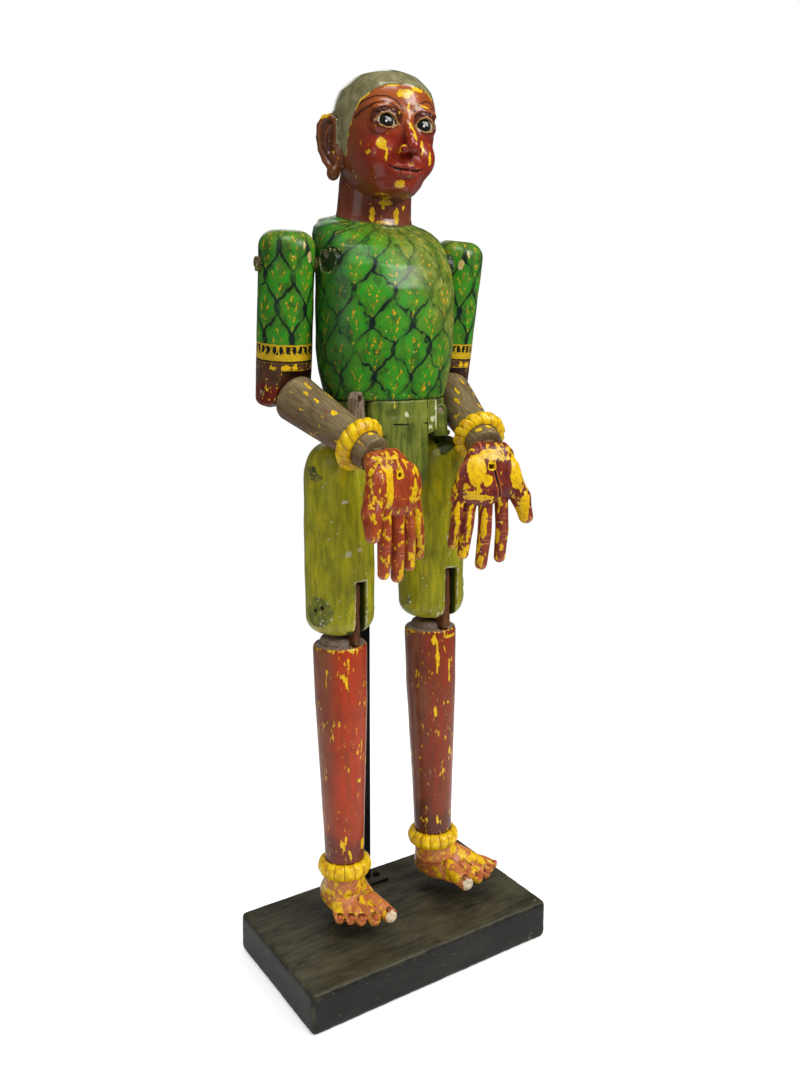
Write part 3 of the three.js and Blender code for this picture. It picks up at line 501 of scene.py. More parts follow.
def buildStreaks(t, given):
    size = given["Size"]
    along = t.join(t.math("DIVIDE", 1.0, size), t.math("DIVIDE", 1.0, size),
                   t.math("DIVIDE", 1.0, t.math("MULTIPLY", size, given["Length"])))
    place = t.vector("MULTIPLY", given["Place"], along)
    value = t.noise(place, 1.0, 5, 0.62, 0.6)
    return {"Fac": t.step(value, 0.3, 0.7)}


streaks = shaderGroup(
    "brushStreaks",
    {"Place": ("vector", None), "Size": ("number", 6.0), "Length": ("number", 8.0)},
    {"Fac": "number"}, buildStreaks)


# Small round specks; Share says how many of the cells hold one.
def buildSpecks(t, given):
    cell = t.cells(t.vector("MULTIPLY", given["Place"], t.join(given["Density"], given["Density"], given["Density"])), 1.0)
    random = t.split(cell.outputs["Color"])[0]
    wobble = t.math("MULTIPLY", t.noise(given["Place"], 0.9, 2), 0.16)
    near = t.math("SUBTRACT", t.math("ADD", given["Radius"], wobble), cell.outputs["Distance"])
    kept = t.math("GREATER_THAN", given["Share"], random)
    return {"Mask": t.math("MULTIPLY", t.step(near, 0.06, 0.09), kept)}


specks = shaderGroup(
    "paintSpecks",
    {"Place": ("vector", None), "Density": ("number", 0.1), "Radius": ("number", 0.12), "Share": ("number", 0.3)},
    {"Mask": "number"}, buildSpecks)


# Darker, rougher hollows and broken, darker varnish; gives a factor to multiply the colour by and a roughness.
def buildAge(t, given):
    hollow = t.step(t.math("MULTIPLY", given["Ridge"], -1), 0.08, 0.7)
    cloud = t.noise(given["Place"], 0.03, 5, 0.6)
    darker = t.math("MULTIPLY", t.step(cloud, 0.42, 0.75), given["Clouds"])
    shade = t.math("SUBTRACT", 1.0, t.math("MAXIMUM", t.math("MULTIPLY", hollow, given["HollowDark"]), darker))
    fine = t.noise(given["Place"], 0.35, 4, 0.65)
    rough = t.math("ADD", given["Rough"], t.math("MULTIPLY", t.math("SUBTRACT", fine, 0.4), 0.35))
    rough = t.math("ADD", rough, t.math("MULTIPLY", hollow, 0.25), clamp=True)
    return {"Shade": shade, "Rough": rough, "Fine": fine}


ageing = shaderGroup(
    "agedVarnish",
    {"Place": ("vector", None), "Ridge": ("number", 0.0), "HollowDark": ("number", 0.6), "Clouds": ("number", 0.35),
     "Rough": ("number", 0.32)},
    {"Shade": "number", "Rough": "number", "Fine": "number"}, buildAge)


# Ogee cells: Across counts cells round the piece and Up counts them along it, Wide and High are their sizes.
def buildLattice(t, given):
    wander = t.noise(given["Place"], 0.05, 3)
    wander = t.math("MULTIPLY", t.math("SUBTRACT", wander, 0.5), given["Wander"])
    up = t.math("ADD", given["Up"], wander)
    across = t.math("ADD", given["Across"], t.math("MULTIPLY", wander, 0.8))
    upTurn = t.math("MULTIPLY", up, 2 * math.pi)
    half = t.math("MULTIPLY", t.math("ADD", t.math("COSINE", upTurn), 1.0), 0.25)
    across = t.math("SUBTRACT", t.math("FRACT", across), 0.5)
    gap = t.math("SUBTRACT", t.math("ABSOLUTE", across), half)
    slope = t.math("DIVIDE", t.math("MULTIPLY", t.math("SINE", upTurn), 0.5 * math.pi), given["High"])
    steep = t.math("DIVIDE", 1.0, given["Wide"])
    length = t.math("SQRT", t.math("ADD", t.math("MULTIPLY", steep, steep), t.math("MULTIPLY", slope, slope)))
    ragged = t.math("MULTIPLY", t.math("SUBTRACT", t.noise(given["Place"], 0.3, 3), 0.5), 3.0)
    apart = t.math("ABSOLUTE", t.math("ADD", t.math("DIVIDE", gap, length), ragged))
    line = t.math("SUBTRACT", 1.0, t.step(apart, t.math("MULTIPLY", given["Line"], 0.6), given["Line"]))
    # the second family of cells lies half a step away in both directions
    acrossB = t.math("SUBTRACT", t.math("FRACT", t.math("ADD", across, 1.0)), 0.5)
    upA = t.math("SUBTRACT", t.math("FRACT", t.math("ADD", up, 0.5)), 0.5)
    upB = t.math("SUBTRACT", t.math("FRACT", up), 0.5)
    inA = t.math("GREATER_THAN", 0.0, gap)
    cellAcross = t.math("ADD", t.math("MULTIPLY", across, inA),
                        t.math("MULTIPLY", acrossB, t.math("SUBTRACT", 1.0, inA)))
    cellUp = t.math("ADD", t.math("MULTIPLY", upA, inA), t.math("MULTIPLY", upB, t.math("SUBTRACT", 1.0, inA)))
    x = t.math("MULTIPLY", cellAcross, given["Wide"])
    z = t.math("MULTIPLY", cellUp, given["High"])
    # dark drops where the tips meet
    sideways = t.math("ABSOLUTE", x)
    tipUp = t.math("SUBTRACT", t.math("ABSOLUTE", z), t.math("MULTIPLY", given["High"], 0.5))
    lift = t.math("MULTIPLY", t.math("SUBTRACT", t.math("ABSOLUTE", z), z), 0.5)
    drop = t.vector("LENGTH", t.join(t.math("DIVIDE", sideways, given["Drop"]),
                                     t.math("DIVIDE", tipUp, t.math("MULTIPLY", given["Drop"], 2.0)), 0.0))
    flank = t.vector("LENGTH", t.join(
        t.math("DIVIDE", t.math("SUBTRACT", sideways, t.math("MULTIPLY", given["Wide"], 0.5)), given["Drop"]),
        t.math("DIVIDE", z, t.math("MULTIPLY", given["Drop"], 2.0)), 0.0))
    node = t.math("SUBTRACT", 1.0, t.step(t.math("MINIMUM", drop, flank), 0.85, 1.0))
    return {"Line": line, "Drop": node, "CellX": x, "CellZ": z, "Inside": t.math("DIVIDE", apart, 12.0)}


lattice = shaderGroup(
    "ogeeLattice",
    {"Place": ("vector", None), "Across": ("number", 0.0), "Up": ("number", 0.0), "Wide": ("number", 48.0),
     "High": ("number", 72.0), "Line": ("number", 1.5), "Drop": ("number", 3.5), "Wander": ("number", 0.26)},
    {"Line": "number", "Drop": "number", "CellX": "number", "CellZ": "number", "Inside": "number"}, buildLattice)


# Short brush dabs laid out like a leaf's veins inside one cell.
def buildVeins(t, given):
    x, z = given["CellX"], given["CellZ"]
    jitter = t.math("MULTIPLY", t.math("SUBTRACT", t.noise(given["Place"], 0.12, 2), 0.5), 7)
    x = t.math("ADD", x, jitter)
    mirrored = t.math("ABSOLUTE", x)
    result = None
    for (ax, az), (bx, bz), usesMirror in (((7.5, 6), (4.5, -3), True), ((4, -10), (2, -16), True),
                                           ((0, 14), (0.5, 8), False), ((0, -22), (0, -27), False)):
        u = t.math("SUBTRACT", mirrored if usesMirror else x, ax)
        v = t.math("SUBTRACT", z, az)
        dx, dz = bx - ax, bz - az
        along = t.math("ADD", t.math("MULTIPLY", u, dx), t.math("MULTIPLY", v, dz))
        share = t.math("DIVIDE", along, dx * dx + dz * dz, clamp=True)
        away = t.join(t.math("SUBTRACT", u, t.math("MULTIPLY", share, dx)),
                      t.math("SUBTRACT", v, t.math("MULTIPLY", share, dz)), 0.0)
        dab = t.math("SUBTRACT", 1.0, t.step(t.vector("LENGTH", away), 0.7, 1.25))
        result = dab if result is None else t.math("MAXIMUM", result, dab)
    worn = t.step(t.noise(given["Place"], 0.16, 3), 0.43, 0.5)
    return {"Mask": t.math("MULTIPLY", result, worn)}


veins = shaderGroup(
    "leafVeins",
    {"Place": ("vector", None), "CellX": ("number", 0.0), "CellZ": ("number", 0.0)},
    {"Mask": "number"}, buildVeins)


def newMaterial(name, build, coat=0.25, roughness=0.4, metallic=0.0, coatRough=0.3):
    material = bpy.data.materials.new(name)
    material.use_nodes = True
    t = Tree(material.node_tree)
    shader = material.node_tree.nodes["Principled BSDF"]
    shader.inputs["Roughness"].default_value = roughness
    shader.inputs["Metallic"].default_value = metallic
    shader.inputs["Coat Weight"].default_value = coat
    shader.inputs["Coat Roughness"].default_value = coatRough
    shader.inputs["Specular IOR Level"].default_value = 0.3
    result = build(t)
    t.set(shader.inputs["Base Color"], result["colour"])
    if "rough" in result:
        t.set(shader.inputs["Roughness"], result["rough"])
    if "height" in result:
        bump = t.put("ShaderNodeBump", {"Height": result["height"], "Distance": result.get("depth", 0.0006)})
        bump.inputs["Strength"].default_value = 0.7
        t.set(shader.inputs["Normal"], bump.outputs["Normal"])
    return material


# The last coats on every painted piece: a crack's dark line, darker hollows, varnish and the fine bump.
def aged(t, colour, place, height=None, rough=0.3, hollowDark=0.65, clouds=0.3, crackDark=True, grain=0.1):
    ridge = t.number("ridge")
    age = t.use(ageing, {"Place": place, "Ridge": ridge, "HollowDark": hollowDark, "Clouds": clouds, "Rough": rough})
    colour = t.mix(1.0, colour, t.mix(age["Shade"], tint("17110b"), (1, 1, 1, 1)), "MULTIPLY")
    bumps = t.math("MULTIPLY", age["Fine"], grain)
    if height is not None:
        bumps = t.math("ADD", bumps, height)
    if crackDark:
        ragged = t.math("MULTIPLY", t.math("SUBTRACT", t.noise(place, 0.4, 3), 0.5), 1.2)
        crack = t.step(t.math("ADD", t.number("crack"), ragged), 0.7, 1.1)
        colour = t.mix(crack, colour, tint("120d08"))
        bumps = t.math("SUBTRACT", bumps, crack)
    return {"colour": colour, "rough": age["Rough"], "height": bumps}


paints = {
    "flakeYellow": "f4c808", "flakeDeep": "dca20c", "cream": "e6d9b8", "bareWood": "8a7258",
    "leafGreen": "259a1c", "midGreen": "4c8a18", "olive": "6f7c20", "darkGreen": "12341a", "litPaleGreen": "a5a848",
    "lineGreen": "12241a", "blackGreen": "0d1614",
}
paints = {name: tint(code) for name, code in paints.items()}


def yellowFlake(t, place):
    return t.mix(t.step(t.noise(place, 0.25, 3), 0.4, 0.7), paints["flakeYellow"], paints["flakeDeep"])


# The lattice coat on torso and arms; the light share is 0..1 from bright leaf green to a paler olive, which is painted
# light where the lamps fall.
def greenCoat(t, place, across, up, wide, high, line, drop, paintedLight, wander):
    heavy = t.math("MULTIPLY", t.math("ADD", 0.3, t.math("MULTIPLY", t.noise(place, 0.06, 3), 1.7)), line)
    cell = t.use(lattice, {"Place": place, "Across": across, "Up": up, "Wide": wide, "High": high,
                           "Line": heavy, "Drop": drop, "Wander": wander})
    brushed = t.use(streaks, {"Place": place, "Size": 5.0, "Length": 3.0})["Fac"]
    # daubs of brighter, darker and browner green, laid on with a small brush
    bend = t.math("MULTIPLY", t.math("SUBTRACT", t.noise(place, 0.09, 3), 0.5), 22)
    daub = t.cells(t.scaled(t.vector("ADD", place, t.join(bend, bend, t.math("MULTIPLY", bend, -1.3))), (0.1, 0.1, 0.05)), 1.0)
    tone, shift, _ = t.split(daub.outputs["Color"])
    colour = t.mix(t.step(tone, 0.1, 0.55), paints["darkGreen"], paints["leafGreen"])
    colour = t.mix(t.math("MULTIPLY", t.step(shift, 0.5, 0.9), 0.75), colour, paints["midGreen"])
    colour = t.mix(0.35, colour, paints["leafGreen"])
    colour = t.mix(t.math("MULTIPLY", brushed, 0.4), colour, paints["olive"])
    teal = t.step(t.noise(place, 0.04, 3, 0.5, 1.0), 0.58, 0.7)
    colour = t.mix(t.math("MULTIPLY", teal, 0.6), colour, tint("10482f"))
    # painted light: the paler olive below is the colour laid on the lit parts
    worn = t.mix(t.step(t.noise(place, 0.07, 4, 0.6, 0.8), 0.4, 0.62), paints["olive"], paints["litPaleGreen"])
    colour = t.mix(paintedLight, colour, t.mix(t.math("MULTIPLY", brushed, 0.5), worn, tint("4f7a1c")))
    rim = t.math("SUBTRACT", 1.0, t.step(cell["Inside"], 0.1, 0.8))
    colour = t.mix(t.math("MULTIPLY", rim, 0.35), colour, tint("2f5a1c"))
    faded = t.step(t.noise(place, 0.035, 3), 0.36, 0.54)
    # the lattice lines fade where the light is painted in
    strength = t.math("MULTIPLY", t.math("SUBTRACT", 1.0, t.math("MULTIPLY", paintedLight, 0.7)),
                      t.math("ADD", 0.3, t.math("MULTIPLY", faded, 0.7)))
    lines = t.math("MULTIPLY", t.math("MAXIMUM", cell["Line"], cell["Drop"]), strength)
    colour = t.mix(lines, colour, paints["lineGreen"])
    dabs = t.use(veins, {"Place": place, "CellX": cell["CellX"], "CellZ": cell["CellZ"]})["Mask"]
    dabColour = t.mix(t.step(t.noise(place, 0.2, 2), 0.45, 0.6), tint("e8b010"), tint("a06a1c"))
    colour = t.mix(t.math("MULTIPLY", dabs, 0.85), colour, dabColour)
    flakes = t.use(flaking, {"Place": place, "Size": 5.0, "Stretch": 2.0, "Amount": 0.28,
                             "Patch": t.number("chips"), "Ridge": t.number("ridge"), "Edges": 0.25})["Mask"]
    colour = t.mix(flakes, colour, t.mix(t.noise(place, 0.15, 2), tint("d8b44a"), tint("cfc29a")))
    pale = t.use(specks, {"Place": place, "Density": 0.07, "Radius": 0.06, "Share": 0.4})["Mask"]
    colour = t.mix(pale, colour, tint("e3d28a"))
    height = t.math("SUBTRACT", t.math("MULTIPLY", lines, 0.15), t.math("MULTIPLY", flakes, 0.45))
    return colour, height


torsoDress = {"cellsAround": 11, "cellHigh": 72.0, "wide": 48.0, "halfX": 99.0, "halfY": 66.0, "firstTip": 30.0}


def paintTorso(t):
    place = t.spot("place")
    x, y, z = t.split(place)
    turn = t.math("ARCTAN2", t.math("DIVIDE", x, torsoDress["halfX"]),
                  t.math("MULTIPLY", t.math("DIVIDE", y, torsoDress["halfY"]), -1))
    across = t.math("MULTIPLY", turn, torsoDress["cellsAround"] / (2 * math.pi))
    up = t.math("DIVIDE", t.math("SUBTRACT", z, torsoDress["firstTip"]), torsoDress["cellHigh"])
    # painted light: paler olive towards the figure's left side and the top, where the key lamp falls
    warm = t.math("ADD", t.math("DIVIDE", x, 130.0), t.math("DIVIDE", t.math("SUBTRACT", z, 150.0), 210.0))
    warm = t.math("ADD", warm, t.math("MULTIPLY", t.math("SUBTRACT", t.noise(place, 0.02, 3), 0.5), 0.9))
    paintedLight = t.math("MULTIPLY", t.step(warm, -0.25, 0.42), 0.92)
    colour, height = greenCoat(t, place, across, up, torsoDress["wide"], torsoDress["cellHigh"], 1.6, 3.9, paintedLight, 0.42)
    shadeSide = t.step(t.math("ADD", x, t.math("MULTIPLY", t.noise(place, 0.05, 3), 20)), -82, -58)
    colour = t.mix(t.math("MULTIPLY", t.math("SUBTRACT", 1.0, shadeSide), 0.55), colour, paints["darkGreen"])
    seam = t.math("SUBTRACT", 1.0, t.step(z, 1.0, 5.0))
    colour = t.mix(t.math("MULTIPLY", seam, 0.7), colour, paints["darkGreen"])
    return aged(t, colour, place, height, rough=0.3)


armDress = {"cellsAround": 6, "cellHigh": 78.0, "wide": 38.0, "firstTip": -92.0, "bandTop": -99.5, "ovals": 26,
            "bandBottom": -122.5, "redBelow": -152.0}


def paintArm(t):
    place = t.spot("place")
    x, y, z = t.split(place)
    turn = t.math("ARCTAN2", x, t.math("MULTIPLY", y, -1))
    around = t.math("DIVIDE", turn, 2 * math.pi)
    across = t.math("MULTIPLY", around, float(armDress["cellsAround"]))
    up = t.math("DIVIDE", t.math("SUBTRACT", z, armDress["firstTip"]), armDress["cellHigh"])
    # painted light: the arm turns paler at its top, where light falls from above
    crown = t.step(t.math("ADD", z, t.math("MULTIPLY", t.noise(place, 0.06, 3), 16)), 26, 52)
    colour, height = greenCoat(t, place, across, up, armDress["wide"], armDress["cellHigh"], 1.8, 4.4,
                               t.math("MULTIPLY", crown, 0.6), 0.24)
    # the painted armband
    shaky = t.math("ADD", z, t.math("MULTIPLY", t.math("SUBTRACT", t.noise(place, 0.12, 2), 0.5), 2.4))
    down = t.math("SUBTRACT", armDress["bandTop"], shaky)
    tooth = t.math("MULTIPLY", t.math("SUBTRACT", t.math("FRACT", t.math("MULTIPLY", around, float(armDress["ovals"]))),
                                      0.5), 8.7)
    oval = t.vector("LENGTH", t.join(t.math("DIVIDE", tooth, 2.9), t.math("DIVIDE", t.math("SUBTRACT", down, 6.6), 5.3), 0.0))
    blackOval = t.math("SUBTRACT", 1.0, t.step(oval, 0.8, 1.0))
    bandYellow = t.mix(t.noise(place, 0.2, 3), tint("f0cf1c"), tint("b98a10"))
    band = t.mix(blackOval, bandYellow, paints["blackGreen"])
    under = t.math("MULTIPLY", t.step(down, 1.4, 2.0), t.math("SUBTRACT", 1.0, t.step(down, 12.4, 13.4)))
    band = t.mix(t.math("MULTIPLY", under, t.step(t.noise(place, 0.3, 2), 0.5, 0.62)), band, paints["blackGreen"])
    lowLine = t.math("MULTIPLY", t.step(down, 20.2, 21.0), t.math("SUBTRACT", 1.0, t.step(down, 23.0, 23.8)))
    band = t.mix(lowLine, band, tint("241a10"))
    topLine = t.math("SUBTRACT", 1.0, t.step(t.math("ABSOLUTE", down), 0.5, 1.1))
    band = t.mix(t.math("MULTIPLY", topLine, 0.8), band, tint("e8a818"))
    onBand = t.step(down, -0.6, 0.2)
    colour = t.mix(onBand, colour, band)
    # bare brown and dark red below it
    brown = t.mix(t.use(streaks, {"Place": place, "Size": 7.0, "Length": 3.0})["Fac"], tint("4a2c1a"), tint("6b4630"))
    redder = t.math("ADD", z, t.math("MULTIPLY", t.math("SUBTRACT", t.noise(place, 0.05, 3), 0.5), 26))
    brown = t.mix(t.step(t.math("MULTIPLY", redder, -1), -armDress["redBelow"] - 3, -armDress["redBelow"] + 4), brown,
                  t.mix(t.noise(place, 0.08, 3), tint("7d1f12"), tint("5a1a12")))
    flakes = t.use(flaking, {"Place": place, "Size": 5.0, "Stretch": 1.4, "Amount": 0.5,
                             "Patch": t.number("stripes"), "Ridge": t.number("ridge"), "Edges": 0.35})["Mask"]
    brown = t.mix(flakes, brown, yellowFlake(t, place))
    below = t.step(down, 23.2, 24.0)
    colour = t.mix(below, colour, brown)
    cutFace = t.step(t.number("cutFace"), 0.5, 1.5)
    colour = t.mix(cutFace, colour, t.mix(t.noise(place, 0.1, 3), tint("5b2c1c"), tint("3a2418")))
    height = t.math("ADD", t.math("MULTIPLY", height, t.math("SUBTRACT", 1.0, onBand)),
                    t.math("MULTIPLY", flakes, t.math("MULTIPLY", below, -0.5)))
    return aged(t, colour, place, height, rough=0.28)


def paintForearm(t):
    place = t.spot("place")
    x, y, z = t.split(place)
    brushed = t.use(streaks, {"Place": place, "Size": 5.0, "Length": 6.0})["Fac"]
    colour = t.mix(brushed, tint("67563a"), tint("8f7c56"))
    lower = t.step(t.math("ADD", y, t.math("MULTIPLY", t.noise(place, 0.03, 3), 24)), 6, 26)
    colour = t.mix(t.math("MULTIPLY", lower, 0.8), colour, t.mix(brushed, tint("5a3a2a"), tint("74503c")))
    redPatch = t.step(t.noise(t.scaled(place, (1, 1, 0.4)), 0.035, 3, 0.5, 0.5), 0.56, 0.66)
    colour = t.mix(t.math("MULTIPLY", redPatch, 0.85), colour, tint("8c3420"))
    grain = t.use(specks, {"Place": place, "Density": 0.3, "Radius": 0.1, "Share": 0.5})["Mask"]
    colour = t.mix(t.math("MULTIPLY", grain, 0.35), colour, tint("b9a878"))
    flakes = t.use(flaking, {"Place": place, "Size": 5.0, "Stretch": 2.2, "Amount": 0.44,
                             "Patch": t.number("chips"), "Ridge": t.number("ridge"), "Edges": 0.2})["Mask"]
    colour = t.mix(flakes, colour, yellowFlake(t, place))
    return aged(t, colour, place, t.math("MULTIPLY", flakes, -0.4), rough=0.3)


def paintRing(t):
    place = t.put("ShaderNodeUVMap", uv_map="lobeMap").outputs[0]
    world = t.world()
    u, v, _ = t.split(place)
    colour = t.mix(t.step(t.noise(world, 0.12, 4), 0.35, 0.7), tint("fad20c"), tint("dca408"))
    groove = t.math("ABSOLUTE", t.math("SUBTRACT", t.math("FRACT", u), 0.5))
    ragged = t.math("MULTIPLY", t.math("SUBTRACT", t.noise(world, 0.5, 3), 0.5), 0.06)
    line = t.step(t.math("ADD", groove, ragged), 0.455, 0.485)
    colour = t.mix(t.math("MULTIPLY", line, 0.85), colour, tint("5a3512"))
    soil = t.step(t.noise(world, 0.09, 4, 0.6), 0.56, 0.68)
    colour = t.mix(t.math("MULTIPLY", soil, 0.4), colour, tint("a86c1c"))
    dots = t.use(specks, {"Place": world, "Density": 0.085, "Radius": 0.03, "Share": 0.8})["Mask"]
    colour = t.mix(dots, colour, tint("3b2a12"))
    white = t.use(specks, {"Place": t.scaled(world, 1.3), "Density": 0.05, "Radius": 0.05, "Share": 0.35})["Mask"]
    colour = t.mix(white, colour, paints["cream"])
    result = aged(t, colour, world, t.math("MULTIPLY", line, -0.8), rough=0.26, clouds=0.15, crackDark=False)
    return result


handDress = {"right": {"base": "b24a1c", "deep": "8a3016", "amount": 0.62},
             "left": {"base": "8a3222", "deep": "5e2320", "amount": 0.62}}


def paintHand(dress):
    def build(t):
        place = t.spot("place")
        brushed = t.use(streaks, {"Place": place, "Size": 6.0, "Length": 2.5})["Fac"]
        colour = t.mix(brushed, tint(dress["deep"]), tint(dress["base"]))
        colour = t.mix(t.step(t.number("ridge"), 0.05, 0.4), colour, tint("b8603a"))
        flakes = t.use(flaking, {"Place": place, "Size": 7.0, "Stretch": 1.7, "Amount": dress["amount"],
                                 "Patch": t.number("chips")})["Mask"]
        colour = t.mix(flakes, colour, yellowFlake(t, place))
        deep = t.use(flaking, {"Place": t.scaled(place, 1.15), "Size": 5.0, "Amount": 0.33})["Mask"]
        colour = t.mix(t.math("MULTIPLY", deep, 0.8), colour, paints["cream"])
        pit = t.step(t.number("pit"), 0.2, 0.9)
        colour = t.mix(pit, colour, tint("15100a"))
        return aged(t, colour, place, t.math("MULTIPLY", flakes, -0.5), rough=0.3)
    return build


def paintPelvis(t):
    place = t.spot("place")
    brushed = t.use(streaks, {"Place": place, "Size": 6.5, "Length": 7.0})["Fac"]
    colour = t.mix(brushed, tint("4a5a1a"), tint("828a34"))
    colour = t.mix(t.math("MULTIPLY", t.step(t.noise(place, 0.03, 3), 0.45, 0.65), 0.5), colour, tint("2f4a18"))
    flakes = t.use(flaking, {"Place": place, "Size": 4.5, "Stretch": 1.6, "Amount": 0.32, "Patch": t.number("chips"),
                             "Ridge": t.number("ridge"), "Edges": 0.12})["Mask"]
    flakeColour = t.mix(t.step(t.noise(place, 0.06, 2), 0.5, 0.55), tint("cfd2a8"), tint("c9b62a"))
    colour = t.mix(flakes, colour, flakeColour)
    return aged(t, colour, place, t.math("MULTIPLY", flakes, -0.4), rough=0.34)


def paintThigh(t):
    place = t.spot("place")
    brushed = t.use(streaks, {"Place": place, "Size": 7.0, "Length": 6.0})["Fac"]
    second = t.use(streaks, {"Place": t.vector("ADD", place, (40, 20, 11)), "Size": 12.0, "Length": 3.0})["Fac"]
    colour = t.mix(brushed, tint("8c8a12"), tint("c0b81c"))
    colour = t.mix(t.math("MULTIPLY", second, 0.5), colour, tint("70781c"))
    yellowed = t.step(t.noise(t.scaled(place, (1, 1, 0.3)), 0.06, 3), 0.56, 0.68)
    colour = t.mix(t.math("MULTIPLY", yellowed, 0.6), colour, tint("c8b412"))
    world = t.world()
    worn = t.use(flaking, {"Place": world, "Size": 5.0, "Stretch": 1.3, "Amount": 0.34, "Patch": t.number("chips"),
                           "Ridge": t.number("ridge"), "Edges": 0.34})["Mask"]
    colour = t.mix(t.math("MULTIPLY", worn, 0.9), colour, tint("c8c49a"))
    white = t.use(specks, {"Place": world, "Density": 0.1, "Radius": 0.08, "Share": 0.6})["Mask"]
    colour = t.mix(white, colour, tint("e2e0c4"))
    dark = t.use(specks, {"Place": t.scaled(world, 1.21), "Density": 0.1, "Radius": 0.05, "Share": 0.3})["Mask"]
    colour = t.mix(dark, colour, tint("262a14"))
    inner = t.step(t.number("cutFace"), 0.5, 1.5)
    colour = t.mix(inner, colour, t.mix(t.noise(place, 0.06, 3), tint("55601c"), tint("3c421a")))
    return aged(t, colour, place, t.math("MULTIPLY", worn, -0.4), rough=0.32)


shinDress = {"right": ("ba3810", "963c18"), "left": ("96300f", "703a1c")}


def paintShin(dress):
    def build(t):
        place = t.spot("place")
        x, y, z = t.split(place)
        brushed = t.use(streaks, {"Place": place, "Size": 8.0, "Length": 7.0})["Fac"]
        colour = t.mix(t.math("MULTIPLY", brushed, 0.8), tint(dress[0]), tint(dress[1]))
        edge = t.step(t.math("ADD", t.math("ABSOLUTE", x), t.math("MULTIPLY", t.noise(place, 0.02, 3), 16)), 27, 41)
        colour = t.mix(t.math("MULTIPLY", edge, 0.8), colour, t.mix(brushed, tint("6e3a2a"), tint("8a5a3c")))
        low = t.step(t.math("ADD", t.math("MULTIPLY", z, -1), t.math("MULTIPLY", t.noise(place, 0.03, 3), 60)), 320, 360)
        colour = t.mix(t.math("MULTIPLY", low, 0.7), colour, tint("4e2a20"))
        world = t.world()
        flakes = t.use(flaking, {"Place": world, "Size": 4.5, "Stretch": 3.0, "Amount": 0.47, "Patch": t.number("chips"),
                                 "Ridge": t.number("ridge"), "Edges": 0.42})["Mask"]
        colour = t.mix(flakes, colour, yellowFlake(t, world))
        pale = t.use(flaking, {"Place": t.scaled(world, 0.9), "Size": 5.0, "Stretch": 3.5, "Amount": 0.42})["Mask"]
        colour = t.mix(t.math("MULTIPLY", pale, 0.5), colour, tint("a88668"))
        top = t.step(t.number("collar"), 0.5, 1.5)
        collar = t.mix(t.use(streaks, {"Place": place, "Size": 5.0, "Length": 0.5})["Fac"], tint("6e5c50"), tint("a48c7c"))
        colour = t.mix(top, colour, collar)
        wood = t.mix(brushed, tint("4a2a16"), tint("7a4a24"))
        colour = t.mix(t.step(t.number("tongueWood"), 0.5, 1.5), colour, wood)
        return aged(t, colour, place, t.math("MULTIPLY", flakes, -0.45), rough=0.3)
    return build


def paintFoot(t):
    place = t.spot("place")
    brushed = t.use(streaks, {"Place": place, "Size": 8.0, "Length": 1.0})["Fac"]
    colour = t.mix(brushed, tint("b4622c"), tint("dc8a50"))
    heel = t.step(t.split(place)[1], -6, 26)
    colour = t.mix(t.math("MULTIPLY", heel, 0.65), colour, tint("8a5c38"))
    world = t.world()
    flakes = t.use(flaking, {"Place": world, "Size": 7.0, "Amount": 0.66, "Patch": t.number("chips"),
                             "Ridge": t.number("ridge"), "Edges": 0.12})["Mask"]
    colour = t.mix(flakes, colour, yellowFlake(t, world))
    nail = t.step(t.number("nails"), -0.2, 0.3)
    torn = t.math("MULTIPLY", t.math("SUBTRACT", t.noise(world, 0.22, 3), 0.5), 14)
    paleNail = t.step(t.math("ADD", t.number("bigNail"), torn), -0.2, 0.3)
    colour = t.mix(t.math("MULTIPLY", nail, 0.85), colour, t.mix(paleNail, tint("b0502e"), paints["cream"]))
    return aged(t, colour, place, t.math("MULTIPLY", flakes, -0.5), rough=0.32)


